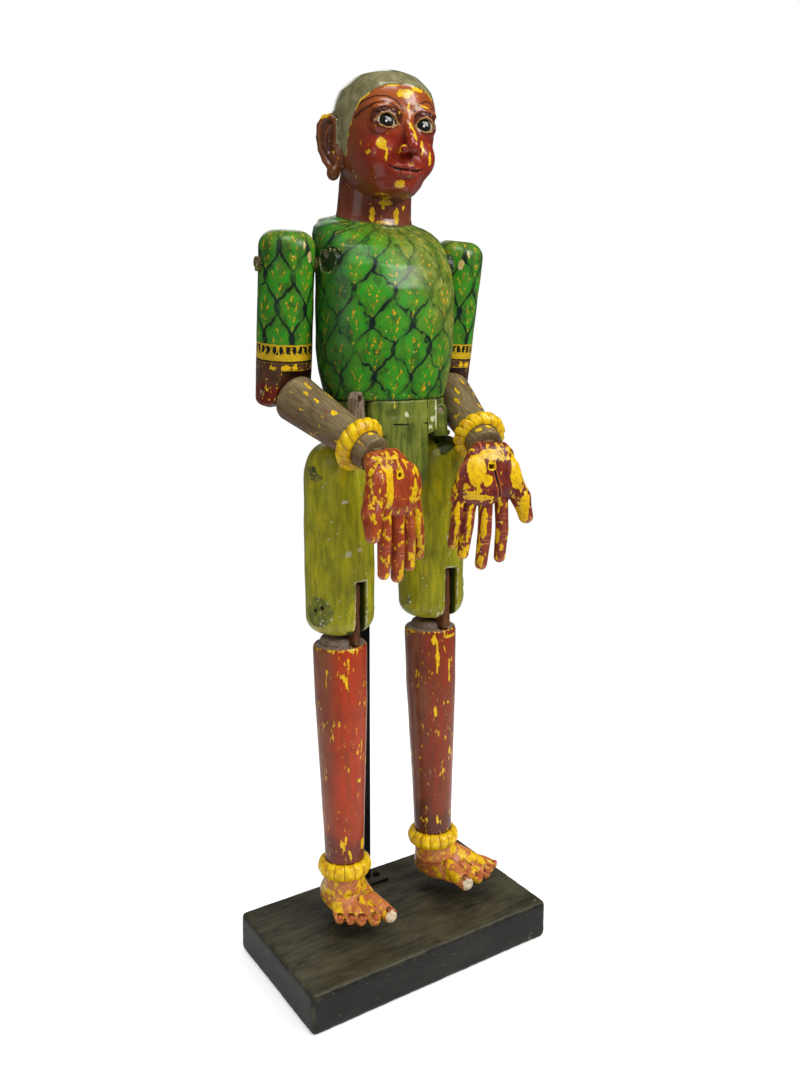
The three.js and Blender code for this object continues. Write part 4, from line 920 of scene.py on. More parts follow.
def paintHead(t):
    place = t.spot("place")
    x, y, z = t.split(place)
    front = t.step(t.math("MULTIPLY", y, -1), 10, 56)
    high = t.step(z, 96, 132)
    warm = t.mix(high, tint("8c2610"), tint("a8541f"))
    cheek = t.step(t.noise(place, 0.03, 3), 0.4, 0.62)
    colour = t.mix(t.math("MULTIPLY", cheek, 0.6), warm, t.mix(high, tint("a83214"), tint("a04a20")))
    colour = t.mix(t.math("SUBTRACT", 1.0, front), colour, t.mix(cheek, tint("74401f"), tint("8c4828")))
    socket = t.step(t.number("socket"), -2.5, 2.0)
    colour = t.mix(t.math("MULTIPLY", socket, 0.85), colour, tint("42140e"))
    lips = t.step(t.number("lips"), -0.6, 0.8)
    colour = t.mix(t.math("MULTIPLY", lips, 0.75), colour, tint("a8402c"))
    lidRim = t.step(t.number("lidRim"), -0.5, 0.4)
    colour = t.mix(t.math("MULTIPLY", lidRim, 0.85), colour, tint("b88448"))
    brow = t.step(t.number("brow"), -0.5, 0.3)
    colour = t.mix(t.math("MULTIPLY", brow, 0.85), colour, tint("2b130c"))
    mouth = t.step(t.number("mouthLine"), -0.4, 0.2)
    colour = t.mix(t.math("MULTIPLY", mouth, 0.8), colour, tint("3a120c"))
    concha = t.step(t.number("concha"), -1.0, 2.0)
    colour = t.mix(t.math("MULTIPLY", concha, 0.6), colour, tint("4a2218"))
    neck = t.step(t.math("MULTIPLY", t.number("neckDepth"), 1.0), -1, 3)
    colour = t.mix(t.math("MULTIPLY", neck, 0.7), colour, t.mix(cheek, tint("6e2a1c"), tint("8a4630")))
    flakes = t.use(flaking, {"Place": place, "Size": 5.5, "Stretch": 1.2, "Amount": 0.4, "Patch": t.number("chips"),
                             "Ridge": t.number("ridge"), "Edges": 0.08})["Mask"]
    colour = t.mix(flakes, colour, yellowFlake(t, place))
    band = t.math("SUBTRACT", 1.0, t.step(t.number("baseRise"), 7.0, 10.0))
    colour = t.mix(t.math("MULTIPLY", band, 0.85), colour, tint("6a5c34"))
    # the painted cap of hair
    ragged = t.math("MULTIPLY", t.math("SUBTRACT", t.noise(place, 0.25, 3), 0.5), 2.0)
    hair = t.step(t.math("ADD", t.number("hair"), ragged), -0.2, 0.4)
    hairColour = t.mix(t.use(streaks, {"Place": place, "Size": 12.0, "Length": 1.6})["Fac"], tint("6a6642"), tint("969068"))
    hairColour = t.mix(t.step(t.noise(place, 0.03, 3), 0.5, 0.7), hairColour, tint("aaa476"))
    edgeBand = t.math("MULTIPLY", t.step(t.number("hair"), -3.4, -1.6), t.step(t.noise(place, 0.09, 3), 0.5, 0.56))
    colour = t.mix(t.math("MULTIPLY", edgeBand, 0.9), colour, paints["flakeYellow"])
    colour = t.mix(hair, colour, hairColour)
    bare = t.math("SUBTRACT", 1.0, hair)
    height = t.math("SUBTRACT", t.math("MULTIPLY", hair, 0.5), t.math("MULTIPLY", t.math("MULTIPLY", flakes, bare), 0.5))
    result = aged(t, colour, place, height, rough=0.26, hollowDark=0.7, grain=0.02)
    result["rough"] = t.math("SUBTRACT", result["rough"], t.math("MULTIPLY", hair, 0.08))
    return result


eyeDress = {"iris": 9.6, "glint": 1.3, "glintUp": 0.5, "look": 1.0}


def paintEye(t):
    place = t.spot("place")
    x, y, z = t.split(place)
    apart = t.vector("LENGTH", t.join(x, z, 0.0))
    colour = t.mix(t.step(t.math("ABSOLUTE", x), 9.0, 13.5), tint("c9c2a2"), tint("8a6a4a"))
    colour = t.mix(t.math("SUBTRACT", 1.0, t.step(apart, eyeDress["iris"] - 0.5, eyeDress["iris"] + 0.5)), colour, tint("14120f"))
    ring = t.math("SUBTRACT", 1.0, t.step(t.math("ABSOLUTE", t.math("SUBTRACT", apart, 7.0)), 0.4, 1.4))
    colour = t.mix(t.math("MULTIPLY", ring, 0.3), colour, tint("3a362c"))
    glint = t.vector("LENGTH", t.join(t.math("SUBTRACT", x, -1.0), t.math("ADD", z, eyeDress["glintUp"]), 0.0))
    colour = t.mix(t.math("SUBTRACT", 1.0, t.step(glint, eyeDress["glint"] - 0.3, eyeDress["glint"] + 0.3)), colour, tint("f4f2ea"))
    return {"colour": colour}


def paintRawWood(t):
    world = t.world()
    grain = t.noise(t.scaled(world, (1, 1, 0.12)), 0.5, 5, 0.6, 0.8)
    colour = t.mix(t.step(grain, 0.35, 0.65), tint("5f4d3a"), tint("a58f76"))
    soil = t.step(t.noise(world, 0.08, 3), 0.5, 0.7)
    colour = t.mix(t.math("MULTIPLY", soil, 0.5), colour, tint("3f3226"))
    pale = t.use(flaking, {"Place": world, "Size": 4.0, "Amount": 0.45})["Mask"]
    colour = t.mix(t.math("MULTIPLY", pale, 0.6), colour, tint("cbbfa6"))
    return aged(t, colour, world, t.math("MULTIPLY", grain, 0.6), rough=0.6, crackDark=False)


def paintPlug(base, second, rim):
    def build(t):
        place = t.spot("place")
        world = t.world()
        x, y, z = t.split(place)
        colour = t.mix(t.step(t.noise(world, 0.1, 3), 0.4, 0.6), tint(base), tint(second))
        flakes = t.use(flaking, {"Place": world, "Size": 4.0, "Amount": 0.46, "Ridge": t.number("ridge"), "Edges": 0.5,
                                 "Patch": t.number("chips")})["Mask"]
        colour = t.mix(flakes, colour, tint(rim))
        torn = t.step(t.number("torn"), 0.3, 1.0)
        colour = t.mix(torn, colour, t.mix(t.noise(world, 0.4, 3), tint("4a3c2a"), tint("8a7658")))
        return aged(t, colour, world, t.math("MULTIPLY", flakes, -0.5), rough=0.4)
    return build


def paintBase(t):
    world = t.world()
    ridge = t.number("ridge")
    top = t.step(t.split(t.put("ShaderNodeNewGeometry").outputs["Normal"])[2], 0.4, 0.8)
    cloud = t.noise(t.scaled(world, (0.35, 1, 1)), 0.03, 5, 0.6)
    topColour = t.mix(t.step(cloud, 0.38, 0.66), tint("232119"), tint("45412f"))
    dusty = t.use(streaks, {"Place": t.join(*[t.split(world)[i] for i in (1, 2, 0)]), "Size": 5.0, "Length": 9.0})["Fac"]
    topColour = t.mix(t.math("MULTIPLY", dusty, 0.35), topColour, tint("6a6448"))
    sideColour = t.mix(t.step(cloud, 0.4, 0.7), tint("0f0f0d"), tint("24221c"))
    colour = t.mix(top, sideColour, topColour)
    scratch = t.noise(t.scaled(world, (0.05, 0.5, 0.6)), 1.0, 4, 0.6, 0.3)
    lines = t.step(scratch, 0.665, 0.69)
    colour = t.mix(t.math("MULTIPLY", lines, 0.55), colour, tint("8a8260"))
    worn = t.use(flaking, {"Place": world, "Size": 9.0, "Stretch": 0.8, "Amount": 0.3, "Ridge": ridge, "Edges": 0.05})["Mask"]
    colour = t.mix(t.math("MULTIPLY", worn, 0.35), colour, tint("6c6548"))
    line = t.math("MULTIPLY", t.step(ridge, 0.5, 0.9), t.step(t.noise(world, 0.05, 3), 0.4, 0.6))
    colour = t.mix(t.math("MULTIPLY", line, 0.3), colour, tint("6c6548"))
    pale = t.use(specks, {"Place": world, "Density": 0.045, "Radius": 0.03, "Share": 0.35})["Mask"]
    colour = t.mix(pale, colour, tint("c2b78e"))
    result = aged(t, colour, world, t.math("MULTIPLY", lines, -0.4), rough=0.5, hollowDark=0.4, crackDark=False)
    return result


def paintSteel(dark, light):
    def build(t):
        world = t.world()
        cloud = t.noise(world, 0.06, 5, 0.6)
        colour = t.mix(t.step(cloud, 0.4, 0.7), tint(dark), tint(light))
        fine = t.noise(world, 1.2, 3)
        rough = t.math("ADD", 0.34, t.math("MULTIPLY", fine, 0.25))
        return {"colour": colour, "rough": rough, "height": t.math("MULTIPLY", fine, 0.2)}
    return build


finishes = {
    "torsoGreen": newMaterial("torsoGreen", paintTorso, coat=0.18),
    "armGreen": newMaterial("armGreen", paintArm, coat=0.18),
    "forearmBrown": newMaterial("forearmBrown", paintForearm, coat=0.12),
    "ringYellow": newMaterial("ringYellow", paintRing, coat=0.2),
    "handRight": newMaterial("handRight", paintHand(handDress["right"]), coat=0.15),
    "handLeft": newMaterial("handLeft", paintHand(handDress["left"]), coat=0.15),
    "pelvisGreen": newMaterial("pelvisGreen", paintPelvis, coat=0.12),
    "thighGreen": newMaterial("thighGreen", paintThigh, coat=0.15),
    "shinRight": newMaterial("shinRight", paintShin(shinDress["right"]), coat=0.15),
    "shinLeft": newMaterial("shinLeft", paintShin(shinDress["left"]), coat=0.15),
    "footTan": newMaterial("footTan", paintFoot, coat=0.15),
    "headPaint": newMaterial("headPaint", paintHead, coat=0.5, coatRough=0.14),
    "eyeEnamel": newMaterial("eyeEnamel", paintEye, coat=0.5, roughness=0.2, coatRough=0.1),
    "rawWood": newMaterial("rawWood", paintRawWood, coat=0.0),
    "darkPlug": newMaterial("darkPlug", paintPlug("1d3a1c", "223018", "cfc48e"), coat=0.15),
    "greenPeg": newMaterial("greenPeg", paintPlug("7c7f2a", "4a4a20", "b9a98a"), coat=0.1),
    "kneeDisc": newMaterial("kneeDisc", paintPlug("8a8a28", "6a7024", "dcd8bc"), coat=0.15),
    "blackWood": newMaterial("blackWood", paintBase, coat=0.05),
    "blackSteel": newMaterial("blackSteel", paintSteel("0a0a0b", "1c1b19"), coat=0.1, metallic=0.6),
    "screwSteel": newMaterial("screwSteel", paintSteel("6c6a64", "a09c92"), coat=0.0, metallic=0.9),
}
print("materials ready:", len(finishes))

# Stand

baseShape = {"edge": 6.5, "shift": (4, 5), "voxel": 2.0}


def makeBase():
    low, high = nodeBox("base_block")
    middle, half = list((low + high) / 2), list((high - low) / 2)
    middle[0], middle[1] = [m + s for m, s in zip(middle, baseShape["shift"])]
    clay = Clay([m - h - 8 for m, h in zip(middle, half)], [m + h + 8 for m, h in zip(middle, half)], baseShape["voxel"])
    clay.whole(lambda p: boxField(p, middle, half, baseShape["edge"]))
    skin = clay.skin().finished(wobble=0.4, wobbleSize=60, wear=0.5, seed=3)
    skin.points[:, 2] = np.maximum(skin.points[:, 2], low.z)
    carved("baseBlock", skin, level, 1, finishes["blackWood"], "stand_and_pelvis", ["base_block"])


# A square-cut steel piece, copied from its node with its edges broken.
def softEdged(name, node, bevel, material, body):
    mesh = frame["nodes"][node].data.copy()
    work = bmesh.new()
    work.from_mesh(mesh)
    bmesh.ops.remove_doubles(work, verts=work.verts, dist=1e-5)
    flat = [edge for edge in work.edges if edge.is_manifold and edge.calc_face_angle(0) < 0.02]
    bmesh.ops.dissolve_edges(work, edges=flat, use_verts=False)
    sharp = [edge for edge in work.edges if edge.is_manifold and edge.calc_face_angle(0) > 0.9]
    bmesh.ops.bevel(work, geom=sharp, offset=bevel * mm, segments=2, affect="EDGES", clamp_overlap=True)
    bmesh.ops.triangulate(work, faces=work.faces)
    work.to_mesh(mesh)
    work.free()
    mesh.materials.clear()
    mesh.materials.append(finishes[material])
    thing = bpy.data.objects.new(name, mesh)
    bpy.context.scene.collection.objects.link(thing)
    return settled(thing, body, [node])


def makeStand():
    makeBase()
    softEdged("postFootPlate", "post_foot_plate", 0.7, "blackWood", "stand_and_pelvis")
    for name, node in (("standPost", "stand_post"), ("backBracket", "back_bracket")):
        softEdged(name, node, 0.7, "blackSteel", "stand_and_pelvis")


makeStand()
print("stand made")

# Pelvis

pelvisShape = {"halfWidth": 84, "halfDepth": 57, "high": 45, "recessX": 52, "recessBackY": -27, "sideLift": 4,
               "crotchHalf": (24.5, 43), "crotchDrop": 91,
               "faceHalf": (34.5, 13), "faceMiddle": -44, "power": 2.2, "voxel": 1.5}


# A superellipse's side, as a distance that is true near the surface.
def ovalField(point, halfX, halfY, middle=(0, 0), power=2.2):
    x, y = np.abs(point[0] - middle[0]), np.abs(point[1] - middle[1])
    ratio = ((x / halfX) ** power + (y / halfY) ** power) ** (1 / power)
    length = np.sqrt(x * x + y * y)
    return (ratio - 1) * length / np.maximum(ratio, 0.05)


def makePelvis():
    s = pelvisShape
    clay = Clay((-95, -68, -(s["high"] + s["crotchDrop"] + 6)), (95, 68, 6), s["voxel"])
    halfHigh = s["high"] / 2

    def block(p):
        return np.maximum(ovalField(p, s["halfWidth"], s["halfDepth"], power=s["power"]),
                          np.abs(p[2] + halfHigh) - halfHigh)

    def crotch(p):
        share = np.clip((-p[2] - s["high"]) / s["crotchDrop"], 0, 1)
        narrow = np.sqrt(np.maximum(1 - share ** 4.5, 0.02))
        halfX, halfY = s["crotchHalf"][0] * narrow, (s["crotchHalf"][1] + 5 - 8 * share) * narrow
        return np.maximum(ovalField(p, halfX, halfY, power=2.6), -p[2] - s["high"] - s["crotchDrop"])

    def face(p):
        share = np.clip((-p[2] - s["high"]) / s["crotchDrop"], 0, 1)
        narrow = np.sqrt(np.maximum(1 - share ** 5, 0.03))
        across = ovalField(p, s["faceHalf"][0] * narrow, s["faceHalf"][1] * narrow ** 0.6,
                           (0, s["faceMiddle"] + 9 * share ** 6), power=4)
        return np.maximum(across, -p[2] - s["high"] - s["crotchDrop"])

    clay.whole(block)
    clay.whole(lambda p: np.maximum(crotch(p), p[2] + halfHigh), blend=5)
    clay.whole(lambda p: np.maximum(face(p), p[2] + halfHigh), blend=2)
    for side in (-1, 1):
        middle = (side * (s["recessX"] + 30), s["recessBackY"] - 50, -halfHigh)
        clay.block(middle, (30, 50, 40), edge=1, cut=True)
        clay.block((side * (s["recessX"] + 30), 0, -s["high"] + s["sideLift"] - 20), (30, 90, 20), cut=True)
    crack = [(-58, -50, -31), (-30, -57, -30.5), (-6, -57, -31.5), (16, -56, -30.5), (36, -55, -32)]
    seams = [[(30, -54, 0), (31, -55, -22), (29, -55, -60)], [(-12, -60, 0), (-12, -60, -44)]]
    skin = clay.skin().finished(wobble=0.5, wobbleSize=30, wear=0.9, seed=9)
    lines = np.minimum(routeDistance(skin.place, crack), routeDistance(skin.place, seams[0]) + 0.3)
    chips = blobDepth(skin.place, [((48, -46, -20), (3, 12, 22)), ((-4, -58, -19), (3, 6, 4)), ((40, -50, -26), (5, 10, 4)),
                                   ((36, -50, -37), (5, 8, 3)), ((-22, -56, -8), (2, 6, 3))])
    carved("pelvisBlock", skin, waistMove, 1, finishes["pelvisGreen"], "stand_and_pelvis",
           ["pelvis_block"], {"crack": 2.0 - lines, "chips": chips})


makePelvis()
print("pelvis made")

# Torso

torsoShape = {
    "rows": [(0.3, 85, 57.5, 1, 0), (14, 89.6, 60.5, 1.5, 0), (39, 95.6, 63.5, 1.5, 0), (69, 99.8, 65.5, 1, 0),
             (104, 100, 66, 0, 0), (144, 99.5, 66, 0, 0), (174, 98.5, 64, 4, 0.02), (200, 97, 59, 13, 0.04),
             (216, 94, 53, 23, 0.07), (227, 88, 47, 31, 0.12), (234, 77, 43, 35, 0.2), (238, 58, 43, 31, 0.27)],
    "collarSlope": 0.27, "neckBack": 30, "neckHalf": (53, 41), "collarLip": 3.0, "power": 2.15, "voxel": 1.6,
    "plug": {"at": (93.5, -11, 180), "turn": -8, "radius": 15.2, "hole": 15.7, "deep": 30, "proud": {"right": 0, "left": 3}},
}


# Level ovals of (height, half width, half depth, middle's distance back, rise to the back).
def loftField(p, rows, power):
    table = np.array(rows, float)
    z = p[2]
    back = np.interp(z, table[:, 0], table[:, 3])
    slope = np.interp(z, table[:, 0], table[:, 4])
    level0 = z - slope * (p[1] - back)
    halfX = np.interp(level0, table[:, 0], table[:, 1])
    halfY = np.interp(level0, table[:, 0], table[:, 2])
    back = np.interp(level0, table[:, 0], table[:, 3])
    side = ovalField(p, halfX, halfY, (0, back), power)
    return side * 0.9, level0


def makeTorso():
    s = torsoShape
    clay = Clay((-108, -76, -4), (108, 92, 258), s["voxel"])
    top = s["rows"][-1][0]

    def body(p):
        side, flat = loftField(p, s["rows"], s["power"])
        return np.maximum(np.maximum(side, 0.3 - p[2]), (flat - top) * 0.96)

    clay.whole(body)
    # the raised lip round the neck
    collarTop = s["rows"][-1][0]

    def lip(p):
        flat = p[2] - s["collarSlope"] * (p[1] - s["neckBack"])
        ring = np.abs(ovalField(p, s["neckHalf"][0] + 2, s["neckHalf"][1] + 2, (0, s["neckBack"]), 2.0)) - s["collarLip"]
        return np.maximum(ring, np.abs(flat - collarTop + 3) - 3.6)

    clay.whole(lip, blend=3)
    plug = s["plug"]
    outward = Vector((math.cos(math.radians(plug["turn"])), math.sin(math.radians(plug["turn"])), 0))
    ends = [Vector(plug["at"]) + outward * reach for reach in (-plug["deep"], plug["deep"])]
    for side in (-1, 1):
        inner, outer = [(side * end.x, end.y, end.z) for end in ends]
        clay.rod(inner, outer, plug["hole"], cut=True, blend=1)
    crackA = [(22, -60, 224), (38, -62, 205), (44, -62, 190), (50, -62, 160), (66, -56, 146), (78, -48, 138)]
    crackB = [(41, -66, 30), (42, -64, 1)]
    crackC = [(-88, -40, 168), (-90, -36, 120)]
    for route in (crackA, crackB):
        clay.line(route, [1.0] * len(route), cut=True)
    skin = clay.skin().finished(wobble=0.7, wobbleSize=34, wear=0.8, seed=17)
    lines = np.minimum(np.minimum(routeDistance(skin.place, crackA), routeDistance(skin.place, crackB)),
                       routeDistance(skin.place, crackC))
    chips = blobDepth(skin.place, [((6, -56, 208), (3, 9, 7)), ((9, -60, 200), (2.5, 9, 6)), ((52, -62, 158), (2.5, 9, 8)),
                                   ((-60, -40, 212), (3, 9, 3)), ((84, -34, 190), (4, 9, 3))])
    carved("torsoBody", skin, waistMove, 1, finishes["torsoGreen"], "torso", ["torso"],
           {"crack": 2.0 - lines, "chips": chips})


makeTorso()
print("torso made")


# A peg's shown end: a round head along X whose rim is chipped and whose face is torn where the wood broke.
def pegEnd(name, side, replaced, body, material, middle, radius, inner, outer, edge, torn, seed, frameUsed, face=None):
    clay = Clay((inner - 3, -radius - 4, -radius - 4), (outer + 4, radius + 4, radius + 4), 0.8)
    clay.whole(lambda p: discField(np.sqrt(p[1] ** 2 + p[2] ** 2), radius, p[0], (inner + outer) / 2,
                                   (outer - inner) / 2, edge))
    if face:
        clay.field = -softMin(-clay.field, -face([q + m for q, m in zip(clay.part(clay.low, [axis[-1] for axis in clay.axes])[1],
                                                                         middle)])[..., :], 1.2)
    for spot, size in torn:
        clay.egg(spot, size, cut=True, blend=1.5)
    skin = clay.skin().finished(wobble=0.5, wobbleSize=8, wear=1.0, seed=seed)
    tornDepth = blobDepth(skin.place, [(spot, [h + 1.2 for h in size]) for spot, size in torn]) if torn else \
        np.full(len(skin.place), -9.0)
    matrix = frameUsed @ Matrix.Translation(Vector(middle))
    return carved(name, skin, matrix, side, finishes[material], body, replaced,
                  {"torn": tornDepth, "chips": np.full(len(skin.place), -9.0)})


def makePlugs():
    plug = torsoShape["plug"]
    for tag, side in sides.items():
        proud = plug["proud"][tag]
        torn = [((proud, 4, 8), (2.5, 5, 5))] if tag == "right" else [((proud, -8, -3), (3, 6, 7))]
        pegEnd(f"torsoPlug_{tag}", side, [f"torso_plug_{tag}"], "torso", "darkPlug", (0, 0, 0), plug["radius"],
               -plug["deep"], proud, 1.5, torn, 21 + side,
               waistMove @ Matrix.Translation(Vector(plug["at"])) @ turned("Z", plug["turn"]))


makePlugs()

# Head

headShape = {
    "rows": [(29, 20, 22, -22, 0), (35, 32, 38.5, -13, 0), (46, 43.5, 53, -4, 0), (63, 52.5, 63, 1, 0), (86, 60, 71, 6, 0),
             (111, 63.5, 74, 8, 0), (141, 64, 75, 9, 0), (166, 58, 67, 9, 0), (183, 42, 50, 9, 0), (191, 24, 30, 9, 0),
             (194, 8, 10, 9, 0)],
    "neck": [(5.3, 54, 42, 30, 0.27), (15, 52, 40.5, 30.5, 0.27), (40, 51, 41, 29, 0.12), (72, 48, 38, 26, 0)],
    "voxel": 1.3,
    "eye": {"x": {"right": 27.5, "left": 25.8}, "y": -49.5, "z": 117, "half": (19.0, 12.2, 15.5), "open": (15.0, 10.8)},
    "ear": {"at": {"right": (71.5, 23, 94), "left": (67, 28, 99)}, "turn": -36, "size": {"right": 1.1, "left": 0.96}},
}
hairLine = [(0, 164), (22, 163), (38, 156), (52, 146), (63, 126), (71, 104), (77, 84), (83, 78), (92, 96), (104, 100),
            (118, 66), (135, 42), (180, 38)]


# eyelid lines, from the eye's middle: (outward, depth, rise)
lidArc = [(-16, -59, -3.5), (-8.5, -63, 7), (0.5, -64.3, 10.4), (9, -61, 8), (16.5, -53, -0.5)]
lidCrease = [(-16, -61, 6), (-7, -65.5, 15), (6, -62.5, 15.5), (18, -52, 6)]
lowLidArc = [(-12.5, -60, -4), (-6, -63, -6.6), (2, -62, -7.6), (10.5, -57.5, -5.4)]
browArc = [(-19, -66, 14), (-11, -70, 25), (1, -68, 31), (13, -60, 31), (25, -46, 25), (31, -34, 16)]
secondArc = [(-18, -64, 8), (-10, -68, 17), (2, -66, 23.5), (14, -58, 22), (25, -44, 14), (30, -34, 6)]


def makeHead():
    s = headShape
    clay = Clay((-104, -92, -14), (104, 92, 199), s["voxel"])
    top = s["rows"][-1][0]

    def skull(p):
        side, flat = loftField(p, s["rows"], 2.1)
        return np.maximum(np.maximum(side, flat - top), s["rows"][0][0] - p[2])

    def neck(p):
        side, flat = loftField(p, s["neck"], 2.0)
        return np.maximum(np.maximum(side, s["neck"][0][0] - flat), flat - 72)

    clay.whole(skull)
    clay.whole(neck, blend=4)
    clay.egg((0, 8, 146), (63, 72, 47), blend=6)                    # the round of the crown
    clay.egg((0, -48, 44.5), (17, 15, 13), blend=9)                   # chin
    for side in (-1, 1):
        clay.egg((side * 30, -42, 78), (19, 19, 22), blend=10)      # cheeks
        clay.egg((side * 24, -54, 132), (21, 10, 8), blend=8)       # brow
    eye = s["eye"]
    for tag, side in sides.items():
        clay.egg((side * (eye["x"][tag] - 1.5), -72, eye["z"] - 1.5), (19, 12, 13), blend=6, cut=True)
    clay.egg((0, -52, 60), (25, 16, 17), blend=8)                   # muzzle
    # nose
    clay.line([(0, -60, 124), (0, -66, 112), (0, -74, 98), (0, -80, 87)], [6, 5.4, 6.6, 7.4], blend=5)
    clay.egg((0, -79.5, 84.5), (8.2, 7.5, 7.2), blend=3)
    for side in (-1, 1):
        clay.egg((side * 9, -73, 82), (5.6, 8, 6), blend=2.5)
        clay.rod((side * 4.8, -77, 75), (side * 4.2, -74, 83), 2.3, cut=True, blend=1)
        clay.line([(side * 13, -70, 90), (side * 15.5, -68, 83), (side * 15, -69, 77)], [0.9, 1.0, 0.8], cut=True, blend=2)
    # lips and the smiling line between them
    clay.line([(-19, -58, 61.5), (-11, -66.5, 61.5), (-4, -70.5, 63), (0, -70.8, 61.8), (4, -70.5, 63), (11, -66.5, 61.5),
               (19, -58, 61.5)], [1.4, 2.9, 3.3, 3.0, 3.3, 2.9, 1.4], blend=2.5)
    clay.line([(-15, -60.5, 57.5), (-7, -68, 53.8), (0, -70.5, 52.8), (7, -68, 53.8), (15, -60.5, 57.5)],
              [1.6, 3.4, 3.9, 3.4, 1.6], blend=2.5)
    mouthLine = [(-24, -55, 63.5), (-16, -63.5, 59.6), (-8, -70, 57.8), (0, -74, 57.2), (8, -70, 57.8), (16, -63.5, 59.6),
                 (24, -55, 63.5)]
    clay.line(mouthLine, [1.0, 1.3, 1.4, 1.4, 1.4, 1.3, 1.0], cut=True, blend=1.2)
    clay.rod((0, -72, 72), (0, -72.5, 67), 1.7, cut=True, blend=3)
    clay.egg((0, -72, 46.5), (10, 7, 3.2), cut=True, blend=4)
    # eyes: the lids are a shell over the ball, opened as an almond
    for tag, side in sides.items():
        middleX = side * eye["x"][tag]
        ball = (middleX, eye["y"], eye["z"])
        shell = [h + 1.9 for h in eye["half"]]
        clay.egg(ball, shell, blend=2.2)

        def almond(p, middleX=middleX, ball=ball):
            x = (p[0] - middleX) / eye["open"][0]
            upper = p[2] - eye["z"] - eye["open"][1] * (1 - x * x) * 0.86 - 0.6
            lower = -(p[2] - eye["z"]) - eye["open"][1] * (1 - x * x) * 0.66 + 0.6
            outside = -eggField(p, ball, [h - 1.6 for h in eye["half"]])
            return np.maximum(np.maximum(upper, lower) * 0.8, np.maximum(outside, p[1] + 40))

        clay.shape(almond, (ball[0] - 21, -74, ball[2] - 15), (ball[0] + 21, -38, ball[2] + 15), cut=True)
        clay.line([(middleX + side * x, y, eye["z"] + z) for x, y, z in lidArc], [0.8, 1.3, 1.4, 1.3, 0.8], blend=1.2)
        clay.line([(middleX + side * x, y, eye["z"] + z) for x, y, z in lidCrease], [0.8, 0.9, 0.9, 0.8], cut=True, blend=1)
    # ears
    ear = s["ear"]
    earFrames = {}
    for tag, side in sides.items():
        move = Matrix.Translation(Vector(ear["at"][tag])) @ turned("Z", ear["turn"]) @ Matrix.Scale(ear["size"][tag], 4)
        back = np.array(move.inverted(), float)
        earFrames[side] = back

        def inEar(p, side=side, back=back):
            x, y, z = p[0] * side, p[1], p[2]
            return [back[k, 0] * x + back[k, 1] * y + back[k, 2] * z + back[k, 3] for k in range(3)]

        def earShape(p, inEar=inEar):
            q = inEar(p)
            rim = [(1, -9, 2), (2, -12, 14), (1, -10, 28), (0, -3, 35), (0, 6, 34), (0, 12, 26), (0, 13, 12),
                   (0, 10.5, -2), (0, 4.5, -15), (0, -2.5, -24)]
            plate = [(y, z) for _, y, z in rim[1:]] + [(-12, -26), (-13, -10)]
            flat = np.maximum(outlineField(q[1], q[2], plate), np.abs(q[0] + 1.5) - 2.2)
            shape = flat
            radii = [3.0, 3.4, 3.8, 4.2, 4.4, 4.4, 4.2, 4.0, 3.8, 3.6]
            for i in range(len(rim) - 1):
                shape = softMin(shape, rodField(q, rim[i], rim[i + 1], radii[i], radii[i + 1]), 1.5)
            shape = softMin(shape, eggField(q, (0.5, -7.5, -30.5), (7, 8, 9)), 2.5)
            fold = [(0.6, -3, 24), (1.2, 2.5, 16), (1.2, 4, 4), (0.8, 0, -8), (0.6, -7, -13)]
            for i in range(len(fold) - 1):
                shape = softMin(shape, rodField(q, fold[i], fold[i + 1], 2.0, 2.2), 2)
            shape = softMin(shape, eggField(q, (1.5, -9, -10), (3.5, 3.2, 5)), 2)
            root = eggField(q, (-6, -13, 0), (9, 10, 27))
            return softMin(shape, root, 4)

        low, high = (side * 80 - 28, -12, 44), (side * 80 + 28, 64, 146)
        clay.shape(earShape, low, high, blend=2)
    # hair stands a little proud, the jaw's painted crease is cut
    jaw = [(-49, 12, 49), (-43, -18, 40), (-30, -38, 33), (-12, -52, 30), (12, -52, 30), (30, -38, 33), (43, -18, 40),
           (49, 12, 49)]
    clay.line(jaw, [0.9] * len(jaw), cut=True, blend=1.5)

    skin = clay.skin().finished(wobble=0.25, wobbleSize=22, wear=0.25, seed=31)
    p = skin.place
    turn = np.degrees(np.arctan2(np.abs(p[:, 0]), -(p[:, 1] - 6)))
    line = np.interp(turn, [row[0] for row in hairLine], [row[1] for row in hairLine])
    hair = p[:, 2] - line
    onEar = (np.abs(p[:, 0]) > 67.5) & (p[:, 2] > 50) & (p[:, 2] < 140) & (p[:, 1] > -4)
    hair[onEar] = -20
    skin.points = skin.points + skin.normals() * (0.9 * np.clip(hair * 0.6 + 0.5, 0, 1))[:, None]
    mirrored = p * np.where(p[:, :1] < 0, [[-1, 1, 1]], [[1, 1, 1]])
    eyeX = np.where(p[:, 0] < 0, eye["x"]["right"], eye["x"]["left"])
    fromEye = mirrored - np.stack([eyeX, 0 * eyeX, 0 * eyeX + eye["z"]], 1)

    def flatDistance(route, points=mirrored):
        return routeDistance(points * [1, 0.06, 1], [(a, b * 0.06, c) for a, b, c in route])

